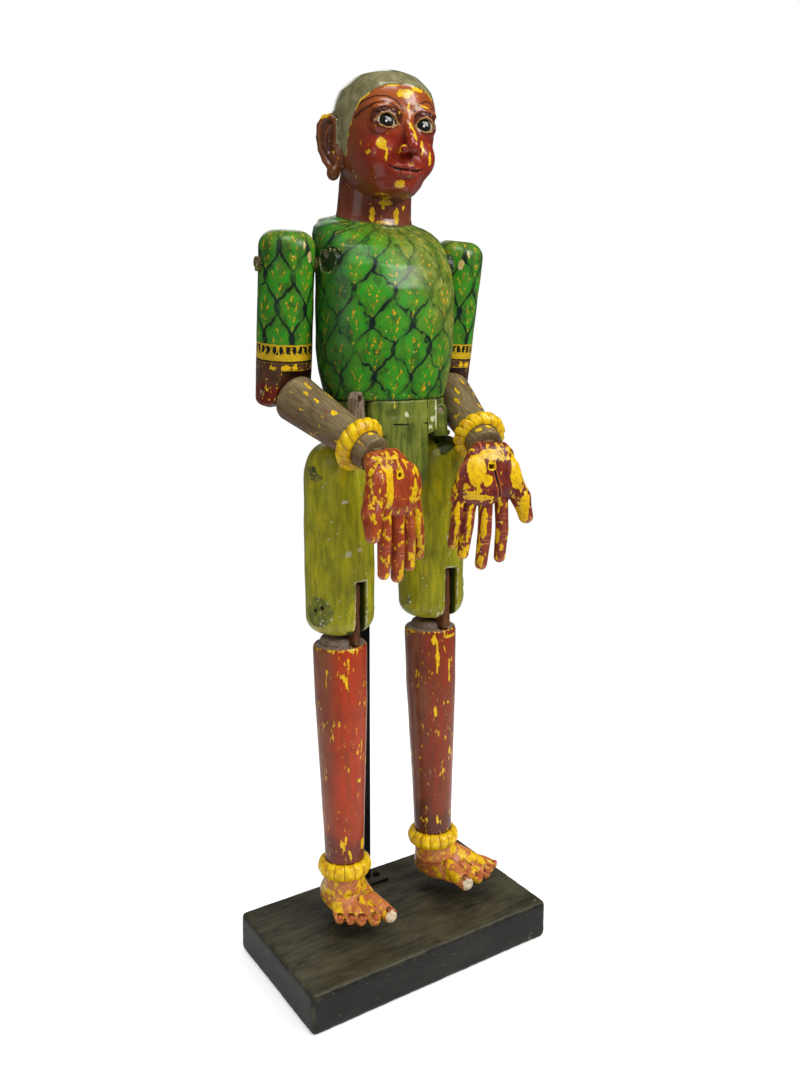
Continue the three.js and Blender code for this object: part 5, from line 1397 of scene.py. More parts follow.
    brow = np.minimum(flatDistance(browArc, fromEye), flatDistance(secondArc, fromEye))
    brow[p[:, 1] > -26] = 9
    lidRim = 1.2 - np.minimum(flatDistance(lidArc, fromEye), flatDistance(lowLidArc, fromEye))
    socket = blobDepth(fromEye, [((1, -58, 4), (21, 18, 14.5))])
    lips = 3.6 - np.minimum(flatDistance([(0, -70, 61.8), (5, -70, 62.6), (18, -58, 61.3)]),
                            flatDistance([(0, -70, 52.8), (7, -68, 53.8), (14, -61, 57)]))
    mouth = 1.3 - flatDistance([row for row in mouthLine if row[0] >= 0])
    jawLine = flatDistance([row for row in jaw if row[0] >= 0])
    earBack = earFrames[-1]
    q = mirrored @ earBack[:3, :3].T + earBack[:3, 3]
    concha = blobDepth(q, [((0, -3, 2), (6, 8, 16))])
    neckDepth = np.where((p[:, 2] < 34) | ((p[:, 2] < 52) & (p[:, 1] > 0)), 5.0, -5.0)
    baseRise = p[:, 2] - 0.27 * (p[:, 1] - 30)
    patches = [
        ((1.5, -76, 98), (2.6, 12, 13)), ((-1, -70, 112), (2.2, 8, 6)), ((-12, -72, 87), (6.5, 8, 3.4)),
        ((-13, -70, 83), (3, 6, 5)), ((-34, -58, 89), (7, 12, 7)), ((-28, -60, 76), (1.8, 12, 9)),
        ((-62, -20, 74), (7, 14, 9)), ((-47, -46, 79), (3.4, 9, 3.2)), ((-54, -40, 92), (2.6, 9, 4.5)),
        ((-8, -64, 41), (8, 10, 5)), ((-4, -68, 155), (11, 12, 5)), ((-8, -66, 150), (9, 12, 4)), ((14, -64, 160), (11, 12, 3)),
        ((-1, -72, 137), (1.8, 9, 9)), ((-14, -70, 128), (2.4, 7, 3.4)), ((22, -66, 88), (3.4, 9, 12)),
        ((34, -56, 78), (3, 9, 9)), ((26, -68, 140), (9, 9, 2)), ((-58, -34, 146), (3.4, 9, 5)),
        ((2, -72, 66), (4, 6, 2)), ((1, -73, 50), (4, 6, 2)), ((-6, -12, 24), (3, 30, 8)), ((-20, -10, 9), (4, 30, 11)),
        ((-4, -8, -2), (13, 30, 4)), ((14, -10, 8), (4, 30, 12)), ((-2, -14, 24), (11, 30, 3.4)), ((26, -4, 20), (3, 30, 4)),
        ((-94, 40, 128), (8, 20, 8)), ((-80, 30, 134), (10, 20, 5)), ((-78, 28, 66), (5, 10, 4)),
    ]
    chips = blobDepth(p, patches)
    creaseYellow = (1.4 - jawLine) * np.where(lumps(p, 9, 5) > -0.2, 1, 0.3)
    chips = np.maximum(chips, creaseYellow * 1.4 - 0.8)
    front = p[:, 1] < 60
    chips = np.where(front, chips, -9)
    carved("headCarving", skin, headMove, 1, finishes["headPaint"], "head", ["head"],
           {"hair": hair, "brow": 1.1 - brow, "lidRim": lidRim, "socket": socket, "lips": lips, "mouthLine": mouth,
            "concha": concha, "neckDepth": neckDepth, "baseRise": baseRise, "chips": chips,
            "crack": np.full(len(p), -9.0)})


def makeEyes():
    eye = headShape["eye"]
    for tag, side in sides.items():
        clay = Clay([-h - 3 for h in eye["half"]], [h + 3 for h in eye["half"]], 0.8)
        clay.egg((0, 0, 0), eye["half"])
        skin = clay.skin().finished(wobble=0, wear=0)
        skin.place = skin.place + [eyeDress["look"], 0, 0]
        matrix = headMove @ Matrix.Translation(Vector((side * eye["x"][tag], eye["y"], eye["z"])))
        carved(f"eye_{tag}", skin, matrix, 1, finishes["eyeEnamel"], "head", [])


makeHead()
makeEyes()
print("head made")

# Arms

armShape = {"radius": 36.3, "topRise": 43.6, "dome": 22, "elbowBelow": 20, "round": 9, "ceiling": 30, "face": 21.2,
            "elbowBend": 73.6, "elbowUp": 10, "slotRadius": 16.8, "slotHalf": 12.8, "pin": 4, "voxel": 1.4}


def makeUpperArms():
    s = armShape
    reach = (elbowAt - shoulderAt).length
    bottom = -reach - s["elbowBelow"]
    clay = Clay((-44, -44, bottom - 6), (44, 44, s["topRise"] + 6), s["voxel"])
    flat = s["radius"] - s["dome"]
    profile = [(0.0, bottom), (s["radius"] - s["round"], bottom)]
    profile += arcPoints((s["radius"] - s["round"], bottom + s["round"]), s["round"], -80, 0, 6)
    profile += arcPoints((flat, s["topRise"] - s["dome"]), s["dome"], 0, 90, 10)
    profile += [(0.0, float(s["topRise"]))]
    clay.whole(lambda p: profileField(np.sqrt(p[0] ** 2 + p[1] ** 2), p[2], profile))
    inward = np.array(elbowInArm.inverted(), float)

    def atElbow(p):
        return [inward[k, 0] * p[0] + inward[k, 1] * p[1] + inward[k, 2] * p[2] + inward[k, 3] for k in range(3)]

    upper = math.radians(90 - s["elbowBend"] - s["elbowUp"])
    faceFar = s["face"] / math.cos(upper) + s["ceiling"] * math.tan(upper)
    notch = [(-faceFar, s["ceiling"]), (-80, s["ceiling"]), (-80, -80), (0, -80)]
    notch += arcPoints((0, 0), s["face"], 270, 180 + math.degrees(upper), 8)
    first, last = math.radians(270 - s["elbowBend"] - s["elbowUp"]), math.radians(270 - s["elbowBend"] + 15)

    def slotField(q):
        inside = None
        for angle in (first, (first + last) / 2, last):
            along = (0, 90 * math.cos(angle), 90 * math.sin(angle))
            swept = rodField([0 * q[1] * q[2], q[1], q[2]], (0, 0, 0), along, s["slotRadius"], s["slotRadius"])
            inside = swept if inside is None else np.minimum(inside, swept)
        return np.maximum(inside, np.abs(q[0]) - s["slotHalf"])

    def opening(p):
        q = atElbow(p)
        return np.minimum(outlineField(q[1] + 0 * q[0], q[2] + 0 * q[0], notch), slotField(q))

    clay.whole(opening, cut=True)
    clay.rod((-44, 0, 0), (44, 0, 0), 10.5, cut=True)
    crack = [(14, -36, -16), (13, -36, -44)]
    skin = clay.skin().finished(wobble=0.5, wobbleSize=26, wear=0.9, seed=41)
    cutFace = -opening(skin.place.T)
    around = np.hypot(skin.place[:, 0], skin.place[:, 1])
    cutFace = np.where((around < s["radius"] - 2.5) & (skin.place[:, 2] < -120), 5, -5)
    stripes = blobDepth(skin.place, [((-6, -34, -134), (4, 10, 13)), ((6, -34, -129), (6, 10, 5)), ((6, -34, -138), (6, 10, 4)),
                                     ((22, -28, -130), (5, 10, 3)), ((-30, -18, -128), (6, 9, 3))])
    chips = blobDepth(skin.place, [((-22, -26, 12), (4, 8, 8)), ((-14, -30, 26), (2.5, 8, 6))])
    for tag, side in sides.items():
        carved(f"upperArm_{tag}", skin, armFrame, side, finishes["armGreen"], f"arm_{tag}",
               [f"upper_arm_{tag}"], {"crack": 1.8 - routeDistance(skin.place, crack), "stripes": stripes, "chips": chips,
                                      "cutFace": cutFace})


# The arm dowel's outer end, broken across the grain, with a torn streak of bare wood in front of it.
def makeShoulderEnds():
    for tag, side in sides.items():
        torn = [((44.5, -9, 5), (7, 9, 6)), ((43.5, 9, -7), (6, 8, 5)), ((44.5, 0, 12), (4, 8, 4))]
        pegEnd(f"shoulderPeg_{tag}", side, [f"shoulder_dowel_{tag}"], "torso", "greenPeg",
               (0, 0, 0), 9.6, -64, 41.5, 1.5, torn, 51 + side, dowelFrame)


dowelFrame = frameAt(shoulderAt, swingAxis, (0, 0, -1))

forearmShape = {"shoulder": 22, "big": 32, "small": 23.5, "bracelet": 157.7, "tongueHalf": 12, "tongueRadius": 16,
                "wristTongueHalf": 6, "wristTongueRadius": 10.5, "heelGap": 15.3, "pin": 3, "voxel": 1.3}


def makeForearms():
    s = forearmShape
    reach = (wristAt - elbowAt).length
    end = -reach + s["heelGap"]
    taperEnd = -s["bracelet"] + 13
    clay = Clay((-38, -38, -reach - 16), (38, 38, 22), s["voxel"])
    profile = [(0.0, end), (s["small"] - 2.5, end), (s["small"] - 0.6, end + 1), (float(s["small"]), end + 3),
               (float(s["small"]), taperEnd), (s["big"] - 0.2, -s["shoulder"] - 7.0)]
    profile += arcPoints((s["big"] - 6.5, -s["shoulder"] - 6.5), 6.5, 0, 90, 6) + [(0.0, -float(s["shoulder"]))]
    clay.whole(lambda p: profileField(np.sqrt(p[0] ** 2 + p[1] ** 2), p[2], profile))

    def groove(p):
        around = np.sqrt(p[0] ** 2 + p[1] ** 2)
        return np.sqrt((around - s["big"] - 0.3) ** 2 + (p[2] + s["shoulder"] + 11.5) ** 2) - 1.3

    clay.whole(groove, cut=True, blend=0.8)
    tongue = [(-s["tongueRadius"], -28), (s["tongueRadius"], -28)] + arcPoints((0, 0), s["tongueRadius"], 0, 180, 12)
    clay.whole(lambda p: np.maximum(outlineField(p[1], p[2], tongue), np.abs(p[0]) - s["tongueHalf"]))
    wrist = arcPoints((0, -reach), s["wristTongueRadius"], 180, 360, 10)
    wrist += [(s["wristTongueRadius"], end + 6), (-s["wristTongueRadius"], end + 6)]
    clay.whole(lambda p: np.maximum(outlineField(p[1], p[2], wrist), np.abs(p[0]) - s["wristTongueHalf"]))
    clay.rod((-44, 0, 0), (44, 0, 0), 4.4, cut=True)
    clay.rod((-44, 0, -reach), (44, 0, -reach), 3.4, cut=True)
    skin = clay.skin().finished(wobble=0.4, wobbleSize=24, wear=0.6, seed=61)
    chips = blobDepth(skin.place, [((6, -30, -50), (2, 8, 8)), ((-10, -28, -74), (2.4, 8, 10)), ((12, -26, -110), (4, 8, 6)),
                                   ((-16, -22, -96), (2, 8, 9)), ((14, -24, -76), (1.8, 8, 6)), ((2, -22, -168), (5, 8, 4)),
                                   ((-12, -18, -172), (4, 8, 4)), ((16, -24, -58), (1.8, 8, 5))])
    for tag, side in sides.items():
        carved(f"forearm_{tag}_wood", skin, forearmFrame, side, finishes["forearmBrown"], f"forearm_{tag}",
               [f"forearm_{tag}"], {"chips": chips, "crack": np.full(len(skin.place), -9.0)})


makeUpperArms()
makeShoulderEnds()
makeForearms()
print("arms made")

# Hands: origin on the wrist pin, palm facing -Y, thumb outward on +X

handShape = {
    "rows": [(-66, 36, 9.5, -19, -5), (-60, 36.5, 11, -18, -5.5), (-46, 38.5, 13, -15, -6), (-26, 38.5, 14.5, -8, -6),
             (-8, 35, 14.5, -3, -5), (4, 31, 13, -1, -2), (11, 24, 9.5, 0, -1), (14.5, 13, 5, 0, 0)],
    "fingers": [((10, -8, -50), (12, -7, -100), (12, -3.5, -137), 9.2, 8.8, 7.6),
                ((-10, -8, -50), (-10.5, -8, -104), (-11, -3.5, -146), 9.5, 9.2, 8.0),
                ((-28.5, -7, -50), (-32, -7, -96), (-34, -3.5, -132), 9.0, 8.8, 7.6),
                ((-46, -6, -52), (-50.5, -6, -90), (-53, -3, -120), 8.3, 8.0, 6.8)],
    "thumb": {"right": ((20, -9, -20), (38, -15, -56), (44, -20, -80), 14.5, 12.5, 9.6),
              "left": ((20, -9, -20), (40, -15, -56), (47, -20, -80), 14.5, 12.5, 9.6)},
    "moved": {"right": [(0, 0), (0, 0), (0, -5), (0, -8)], "left": [(9, 0), (6, 0), (2, 0), (6, 0)]},
    "hole": (-7, -16), "heel": 14.5, "voxel": 1.05,
}
handPatches = {
    "right": [((14, -20, -30), (9, 10, 26)), ((10, -20, -12), (6, 10, 10)), ((-30, -16, -34), (5, 12, 16)),
              ((-44, -10, -84), (4, 10, 20)), ((24, -20, -56), (7, 10, 7)), ((-6, -16, 6), (7, 9, 4)),
              ((38, -22, -84), (4, 8, 8)), ((12, -9, -116), (3, 8, 9)), ((-12, -12, -134), (3.4, 8, 12)),
              ((-34, -10, -112), (2.6, 8, 13)), ((12, -6, -138), (5, 8, 6)), ((-36, -16, -16), (4, 10, 9))],
    "left": [((-28, -18, -22), (14, 12, 22)), ((-22, -18, -56), (22, 12, 4.5)), ((28, -18, -22), (11, 14, 26)),
             ((40, -22, -70), (8, 14, 26)), ((-8, -18, 0), (16, 12, 8)), ((-10, -16, -90), (4, 9, 22)),
             ((-31, -15, -92), (3.6, 9, 26)), ((-47, -12, -84), (3.4, 9, 24)), ((12, -14, -110), (3.2, 8, 14)),
             ((-10, -14, -140), (5, 8, 8)), ((12, -12, -138), (5, 8, 6)), ((-12, -20, -34), (8, 10, 9))],
}
handCracks = {
    "right": [(-4, -14, 12), (-6, -18, 2), (-8, -21, -8)],
    "left": [(-2, -20, -22), (4, -20, -38), (8, -19, -52), (10, -16, -66)],
}


def makeHand(tag, side):
    s = handShape
    clay = Clay((-68, -36, -162), (62, 24, 22), s["voxel"])

    def palm(p):
        side0, flat = loftField(p, [(z, a, b, y, 0) for z, a, b, x, y in s["rows"]], 2.3)
        table = np.array(s["rows"], float)
        middle = np.interp(p[2], table[:, 0], table[:, 3])
        halfX = np.interp(p[2], table[:, 0], table[:, 1])
        halfY = np.interp(p[2], table[:, 0], table[:, 2])
        deep = np.interp(p[2], table[:, 0], table[:, 4])
        across = ovalField([p[0] - middle, p[1] - deep], halfX, halfY, power=2.3)
        return np.maximum(np.maximum(across, -64 - p[2]), p[2] - 14)

    clay.whole(palm)
    clay.shape(lambda p: discField(np.sqrt(p[1] ** 2 + p[2] ** 2), s["heel"], p[0], -0.5, 21.5, 3),
               (-24, -16, -16), (23, 16, 16), blend=2)
    fingers = []
    for (root, knuckle, tip, *radii), (dx, dz) in zip(s["fingers"], s["moved"][tag]):
        root, knuckle, tip = [(x + dx * share, y, z + dz * share)
                              for (x, y, z), share in ((root, 0.5), (knuckle, 0.9), (tip, 1))]
        clay.line([root, knuckle, tip], radii, blend=0.6)
        fingers.append((root, tip))
    for root, tip in fingers:
        for share in (0.36, 0.68):
            crease = [a + (b - a) * share for a, b in zip(root, tip)]
            clay.rod((crease[0] - 7, crease[1] - 9.6, crease[2]), (crease[0] + 7, crease[1] - 9.6, crease[2]), 0.9,
                     cut=True, blend=1)
    root, knuckle, tip, a, b, c = s["thumb"][tag]
    clay.line([root, knuckle, tip], [a, b, c], blend=5)
    # the raised pad of the palm ends in a lip above the fingers
    clay.egg((-15, -13, -34), (37, 10.5, 34), blend=2.5)
    clay.egg((24, -15, -30), (13, 9, 24), blend=6)
    clay.egg((-30, -14, -32), (14, 8, 24), blend=6)
    clay.egg((-4, -27, -34), (11, 6, 20), blend=7, cut=True)
    hole = (s["hole"][0], -28, s["hole"][1])
    if tag == "right":
        clay.rod(hole, (hole[0], 2, hole[2]), 2.9, cut=True)
    else:
        clay.block((hole[0], -14, hole[2]), (4.2, 16, 2.9), cut=True)
    route = handCracks[tag]
    clay.line(route, [1.2] * len(route), cut=True, blend=0.6)
    # the slot that the forearm's tongue turns in
    forearmAngle = math.radians(90 - wristBend)

    def slot(p):
        swept = None
        for angle in (forearmAngle - 0.18, forearmAngle, forearmAngle + 0.18):
            along = (0, 60 * math.cos(angle), 60 * math.sin(angle))
            one = rodField([0 * p[1], p[1], p[2]], (0, 0, 0), along, 11.3, 11.3)
            swept = one if swept is None else np.minimum(swept, one)
        return np.maximum(swept, np.abs(p[0]) - 6.8)

    clay.whole(slot, cut=True)
    skin = clay.skin().finished(wobble=0.35, wobbleSize=14, wear=0.3, seed=71)
    p = skin.place
    pit = 3.3 - np.hypot(p[:, 0] - s["hole"][0], p[:, 2] - s["hole"][1])
    pit[p[:, 1] > 0] = -9
    rim = 6.0 - np.hypot(p[:, 0] - s["hole"][0], p[:, 2] - s["hole"][1])
    chips = np.maximum(blobDepth(p, handPatches[tag]), np.where(p[:, 1] < 0, rim * 0.8, -9))
    carved(f"hand_{tag}_carving", skin, handFrame, side, finishes["handRight" if tag == "right" else "handLeft"],
           f"hand_{tag}", [f"hand_{tag}"], {"chips": chips, "pit": pit, "crack": 2.2 - routeDistance(p, route)})


for tag, side in sides.items():
    makeHand(tag, side)
print("hands made")

# Lobed rings, made by rule: a closed tube whose width swells with each lobe

ringShape = {"lobes": 15, "stepsPerLobe": 14, "stepsRound": 22}
ringSizes = {
    "bracelet": {"inner": 23.8, "outer": 36.6, "high": 21.0, "groove": 0.26, "slant": 0.35, "band": 1.0},
    "anklet": {"inner": 26.8, "outer": 36.8, "high": 22.0, "groove": 0.22, "slant": 0.0, "band": 0.0},
}


def ringTree():
    tree = bpy.data.node_groups.new("lobedRing", "GeometryNodeTree")
    tree.interface.new_socket(name="Geometry", in_out="INPUT", socket_type="NodeSocketGeometry")
    for label in ("Inner", "Outer", "High", "Lobes", "Groove", "Slant", "Band"):
        tree.interface.new_socket(name=label, in_out="INPUT", socket_type="NodeSocketFloat")
    tree.interface.new_socket(name="Material", in_out="INPUT", socket_type="NodeSocketMaterial")
    tree.interface.new_socket(name="Geometry", in_out="OUTPUT", socket_type="NodeSocketGeometry")
    t = Tree(tree)
    given = t.put("NodeGroupInput").outputs
    around, across = ringShape["lobes"] * ringShape["stepsPerLobe"], ringShape["stepsRound"]
    grid = t.put("GeometryNodeMeshGrid", {"Size X": 1.0, "Size Y": 1.0, "Vertices X": around + 1, "Vertices Y": across + 1})
    x, y, _ = t.split(t.put("GeometryNodeInputPosition").outputs[0])
    phase = t.math("MULTIPLY", y, 2 * math.pi)
    height = t.math("SINE", phase)
    outward = t.math("MAXIMUM", t.math("COSINE", phase), -0.12)
    lobes = t.math("ADD", t.math("MULTIPLY", t.math("ADD", x, 0.5), given["Lobes"]), t.math("MULTIPLY", height, given["Slant"]))
    share = t.math("ABSOLUTE", t.math("SUBTRACT", t.math("MULTIPLY", t.math("FRACT", lobes), 2.0), 1.0))
    swell = t.math("SUBTRACT", 1.0, t.math("MULTIPLY", given["Groove"], t.math("POWER", share, 3.0)))
    onBand = t.math("MULTIPLY", given["Band"], t.math("GREATER_THAN", t.math("MULTIPLY", height, -1), 0.5))
    swell = t.math("ADD", t.math("MULTIPLY", swell, t.math("SUBTRACT", 1.0, onBand)), t.math("MULTIPLY", onBand, 0.86))
    bulge = t.math("MULTIPLY", t.math("SUBTRACT", given["Outer"], given["Inner"]), t.math("MULTIPLY", swell, outward))
    radius = t.math("ADD", given["Inner"], t.math("MAXIMUM", bulge, 0.0))
    turn = t.math("MULTIPLY", x, 2 * math.pi)
    place = t.join(t.math("MULTIPLY", radius, t.math("COSINE", turn)), t.math("MULTIPLY", radius, t.math("SINE", turn)),
                   t.math("MULTIPLY", t.math("MULTIPLY", given["High"], 0.5), height))
    uv = t.put("GeometryNodeStoreNamedAttribute", {"Geometry": grid.outputs["Mesh"], "Name": "lobeMap",
                                                   "Value": t.join(lobes, height, 0.0)},
               data_type="FLOAT2", domain="CORNER")
    shaped = t.put("GeometryNodeSetPosition", {"Geometry": uv.outputs[0], "Position": place})
    closed = t.put("GeometryNodeMergeByDistance", {"Geometry": shaped.outputs[0], "Distance": 1e-5})
    smooth = t.put("GeometryNodeSetShadeSmooth", {"Geometry": closed.outputs[0]})
    whole = t.put("GeometryNodeRealizeInstances", {"Geometry": smooth.outputs[0]})
    coloured = t.put("GeometryNodeSetMaterial", {"Geometry": whole.outputs[0], "Material": given["Material"]})
    t.put("NodeGroupOutput", {"Geometry": coloured.outputs[0]})
    return tree


lobedRing = ringTree()


# Runs a geometry tree on an empty mesh and keeps the result as a plain mesh.
def grown(name, tree, values):
    thing = bpy.data.objects.new(name, bpy.data.meshes.new(name))
    bpy.context.scene.collection.objects.link(thing)
    modifier = thing.modifiers.new("build", "NODES")
    modifier.node_group = tree
    for item in tree.interface.items_tree:
        if item.in_out == "INPUT" and item.name in values:
            modifier[item.identifier] = values[item.name]
    graph = bpy.context.evaluated_depsgraph_get()
    mesh = bpy.data.meshes.new_from_object(thing.evaluated_get(graph), preserve_all_data_layers=True, depsgraph=graph)
    thing.modifiers.clear()
    thing.data = mesh
    return thing


def facesOut(mesh):
    work = bmesh.new()
    work.from_mesh(mesh)
    bmesh.ops.recalc_face_normals(work, faces=work.faces)
    work.to_mesh(mesh)
    work.free()


def makeRing(kind, name, matrix, side, body, replaced):
    size = ringSizes[kind]
    values = {"Inner": size["inner"] * mm, "Outer": size["outer"] * mm, "High": size["high"] * mm,
              "Lobes": float(ringShape["lobes"]), "Groove": size["groove"], "Slant": size["slant"], "Band": size["band"],
              "Material": finishes["ringYellow"]}
    thing = grown(name, lobedRing, values)
    place = matrix.copy()
    place.translation = matrix.translation * mm
    thing.data.transform(Matrix.Scale(side, 4, (1, 0, 0)) @ place)
    facesOut(thing.data)
    return settled(thing, body, replaced)


braceletFrame = forearmFrame @ Matrix.Translation((0, 0, 4 - forearmShape["bracelet"]))
footFrames = {}
for tag, side in sides.items():
    makeRing("bracelet", f"bracelet_{tag}_ring", braceletFrame, side, f"forearm_{tag}", [f"bracelet_{tag}"])
    footFrames[tag] = frameAt(ankleAt, (1, 0, 0), -footAxis) 
    ankletFrame = footFrames[tag] @ Matrix.Translation((0, 0, -8.8))
    makeRing("anklet", f"anklet_{tag}_ring", ankletFrame, side, f"foot_{tag}", [f"anklet_{tag}"])
print("rings made")

# Legs

thighShape = {"radius": 47, "footRadius": 45.5, "belowKnee": 36, "round": 21, "mortiseHalf": 9.8,
              "slot": {"right": (-7.5, 8.6), "left": (4.6, 11)}, "slotRise": 37, "slotBack": 24, "kneePin": 8, "voxel": 1.5}


def makeThighs():
    s = thighShape
    drop = hipAt.z - kneeAt.z
    bottom = -drop - s["belowKnee"]
    profile = [(0.0, bottom)] + arcPoints((s["footRadius"] - s["round"], bottom + s["round"]), s["round"], -90, 0, 8)
    profile += [(s["footRadius"] + 0.9, -150.0), (s["radius"] + 0.0, -60.0)]
    profile += arcPoints((0, 0), s["radius"], 0, 90, 14)
    mortise = [(-14.8, -14.8), (14.8, -14.8), (16, 0), (29.5, 52), (-29.5, 52), (-16, 0)]
    slotTop = -drop + s["slotRise"]
    for tag, side in sides.items():
        middle, half = s["slot"][tag]
        clay = Clay((-53, -53, bottom - 5), (53, 53, 52), s["voxel"])
        clay.whole(lambda p: profileField(np.sqrt(p[0] ** 2 + p[1] ** 2), p[2], profile))
        clay.egg((14, -8, 20), (30, 36, 25.5), blend=8)     # the dome is fuller on its outer front

        def opening(p):
            top = np.maximum(outlineField(p[1], p[2], mortise), np.abs(p[0]) - s["mortiseHalf"])
            low = boxField(p, (middle, s["slotBack"] - 50, slotTop - 60), (half, 50, 60), 1)
            return np.minimum(top, low)

        clay.whole(opening, cut=True)
        skin = clay.skin().finished(wobble=0.7, wobbleSize=30, wear=0.9, seed=81)
        p = skin.place
        around = np.hypot(p[:, 0], p[:, 1])
        inSlot = (np.abs(p[:, 0] - middle) < half + 1) | (np.abs(p[:, 0]) < s["mortiseHalf"] + 1)
        cutFace = np.where((around < s["footRadius"] - 4) & inSlot, 5, -5)
        chips = blobDepth(p, [((12, -44, -96), (4, 12, 4.5)), ((-4, -46, -92), (3, 12, 4)), ((16, -42, -28), (5, 12, 2)),
                              ((-14, -42, -206), (2, 12, 9))])
        crack = routeDistance(p, [(2, -44, 14), (1, -46, -2)])
        carved(f"thigh_{tag}_wood", skin, thighFrame, side, finishes["thighGreen"], f"thigh_{tag}",
               [f"thigh_{tag}"], {"chips": chips, "cutFace": cutFace, "crack": 1.8 - crack})


def thighFace(grown):
    return lambda p: np.sqrt(p[0] ** 2 + p[1] ** 2 + 0 * p[2]) - thighShape["footRadius"] - grown


def makeLegPegs():
    kneeIn = kneeAt - hipAt
    for tag, side in sides.items():
        torn = [((44, 3, -12), (9, 14, 8)), ((46, 11, -2), (6, 6, 8)), ((41, -12, -8), (7, 5, 6))]
        pegEnd(f"hipPeg_{tag}", side, [f"hip_pin_{tag}"], f"thigh_{tag}", "greenPeg",
               (0, -12, 2), 15.5, 24, 60, 1, torn, 91 + side, thighFrame, thighFace(1.6))
        pegEnd(f"kneeDisc_{tag}", side, [f"knee_pin_{tag}"], f"thigh_{tag}", "kneeDisc",
               (0, -15, kneeIn.z - 2), 20.6, 22, 60, 1, [((47, 12, 9), (5, 3, 5))], 95 + side, thighFrame, thighFace(1.5))
        pegEnd(f"kneePinInner_{tag}", side, [], f"thigh_{tag}", "kneeDisc",
               (0, kneeIn.y - 10.5, kneeIn.z - 8), 8.0, -45.5, 30, 1, [], 99 + side, thighFrame)


shinShape = {"top": 53, "end": 355, "topRadius": 36.5, "endRadius": 26.6, "collarRadius": 27, "collarRise": 9,
             "rimRound": 5, "tongue": {"right": (-6.2, 5.2), "left": (2.6, 6.5)}, "voxel": 1.5}


def makeShins():
    s = shinShape
    profile = [(0.0, -float(s["end"])), (float(s["endRadius"]), -float(s["end"])),
               (s["endRadius"] + 3.6, -250.0), (s["topRadius"] - 1.0, -130.0), (float(s["topRadius"]), -s["top"] - 12.0)]
    profile += arcPoints((s["topRadius"] - s["rimRound"], -s["top"] - s["rimRound"]), s["rimRound"], 0, 80, 5)
    profile += [(s["collarRadius"] + 1.5, -s["top"] + 1.0), (s["collarRadius"] - 1.0, -s["top"] + s["collarRise"] - 2.0),
                (s["collarRadius"] - 3.0, -s["top"] + float(s["collarRise"])), (0.0, -s["top"] + float(s["collarRise"]))]
    low = -s["top"] + 2
    tongue = [(-38, low), (14, low)] + arcPoints((0, 0), 14, 0, 80, 8) + [(-19, 33), (-32, 33)] + \
        arcPoints((-33, 28), 5, 90, 180, 4)
    patchSets = {
        "right": [((8, -33, -78), (2.2, 8, 14)), ((10, -32, -98), (2.2, 8, 10)), ((14, -30, -92), (2, 8, 7)),
                  ((-26, -22, -220), (2.4, 9, 10)), ((-8, -32, -238), (4, 9, 3)), ((-18, -26, -330), (6, 9, 9)),
                  ((-30, -16, -180), (2, 9, 8)), ((2, -36, -52), (5, 9, 9)), ((12, -28, -318), (2, 9, 8))],
        "left": [((-12, -33, -90), (2.4, 8, 26)), ((-16, -31, -66), (4, 8, 8)), ((8, -34, -112), (2, 8, 18)),
                 ((12, -32, -64), (12, 9, 3)), ((-14, -30, -170), (2.4, 8, 8)), ((0, -37, -30), (5, 9, 26)),
                 ((-10, -28, -330), (2.4, 8, 9)), ((10, -30, -232), (2.4, 8, 5))],
    }
    for tag, side in sides.items():
        middle, half = s["tongue"][tag]
        clay = Clay((-43, -44, -s["end"] - 5), (43, 43, 37), s["voxel"])
        clay.whole(lambda p: profileField(np.sqrt(p[0] ** 2 + p[1] ** 2), p[2], profile))
        clay.whole(lambda p: np.maximum(outlineField(p[1], p[2], tongue), np.abs(p[0] - middle) - half))
        clay.rod((-50, 0, 0), (50, 0, 0), 8.6, cut=True)
        skin = clay.skin().finished(wobble=0.5, wobbleSize=34, wear=0.8, seed=101)
        p = skin.place
        around = np.hypot(p[:, 0], p[:, 1])
        onTongue = (np.abs(p[:, 0] - middle) < half + 1) & (p[:, 2] > -s["top"] - 1)
        collar = np.where((p[:, 2] > -s["top"] - 2.5) & ~onTongue & (around < 35), 3, -3)
        chips = blobDepth(p, patchSets[tag])
        carved(f"shin_{tag}_wood", skin, shinFrame, side, finishes["shinRight" if tag == "right" else "shinLeft"],
               f"shin_{tag}", [f"shin_{tag}"],
               {"chips": chips, "collar": collar, "tongueWood": np.where(onTongue, 3, -3),
                "crack": np.full(len(p), -9.0)})


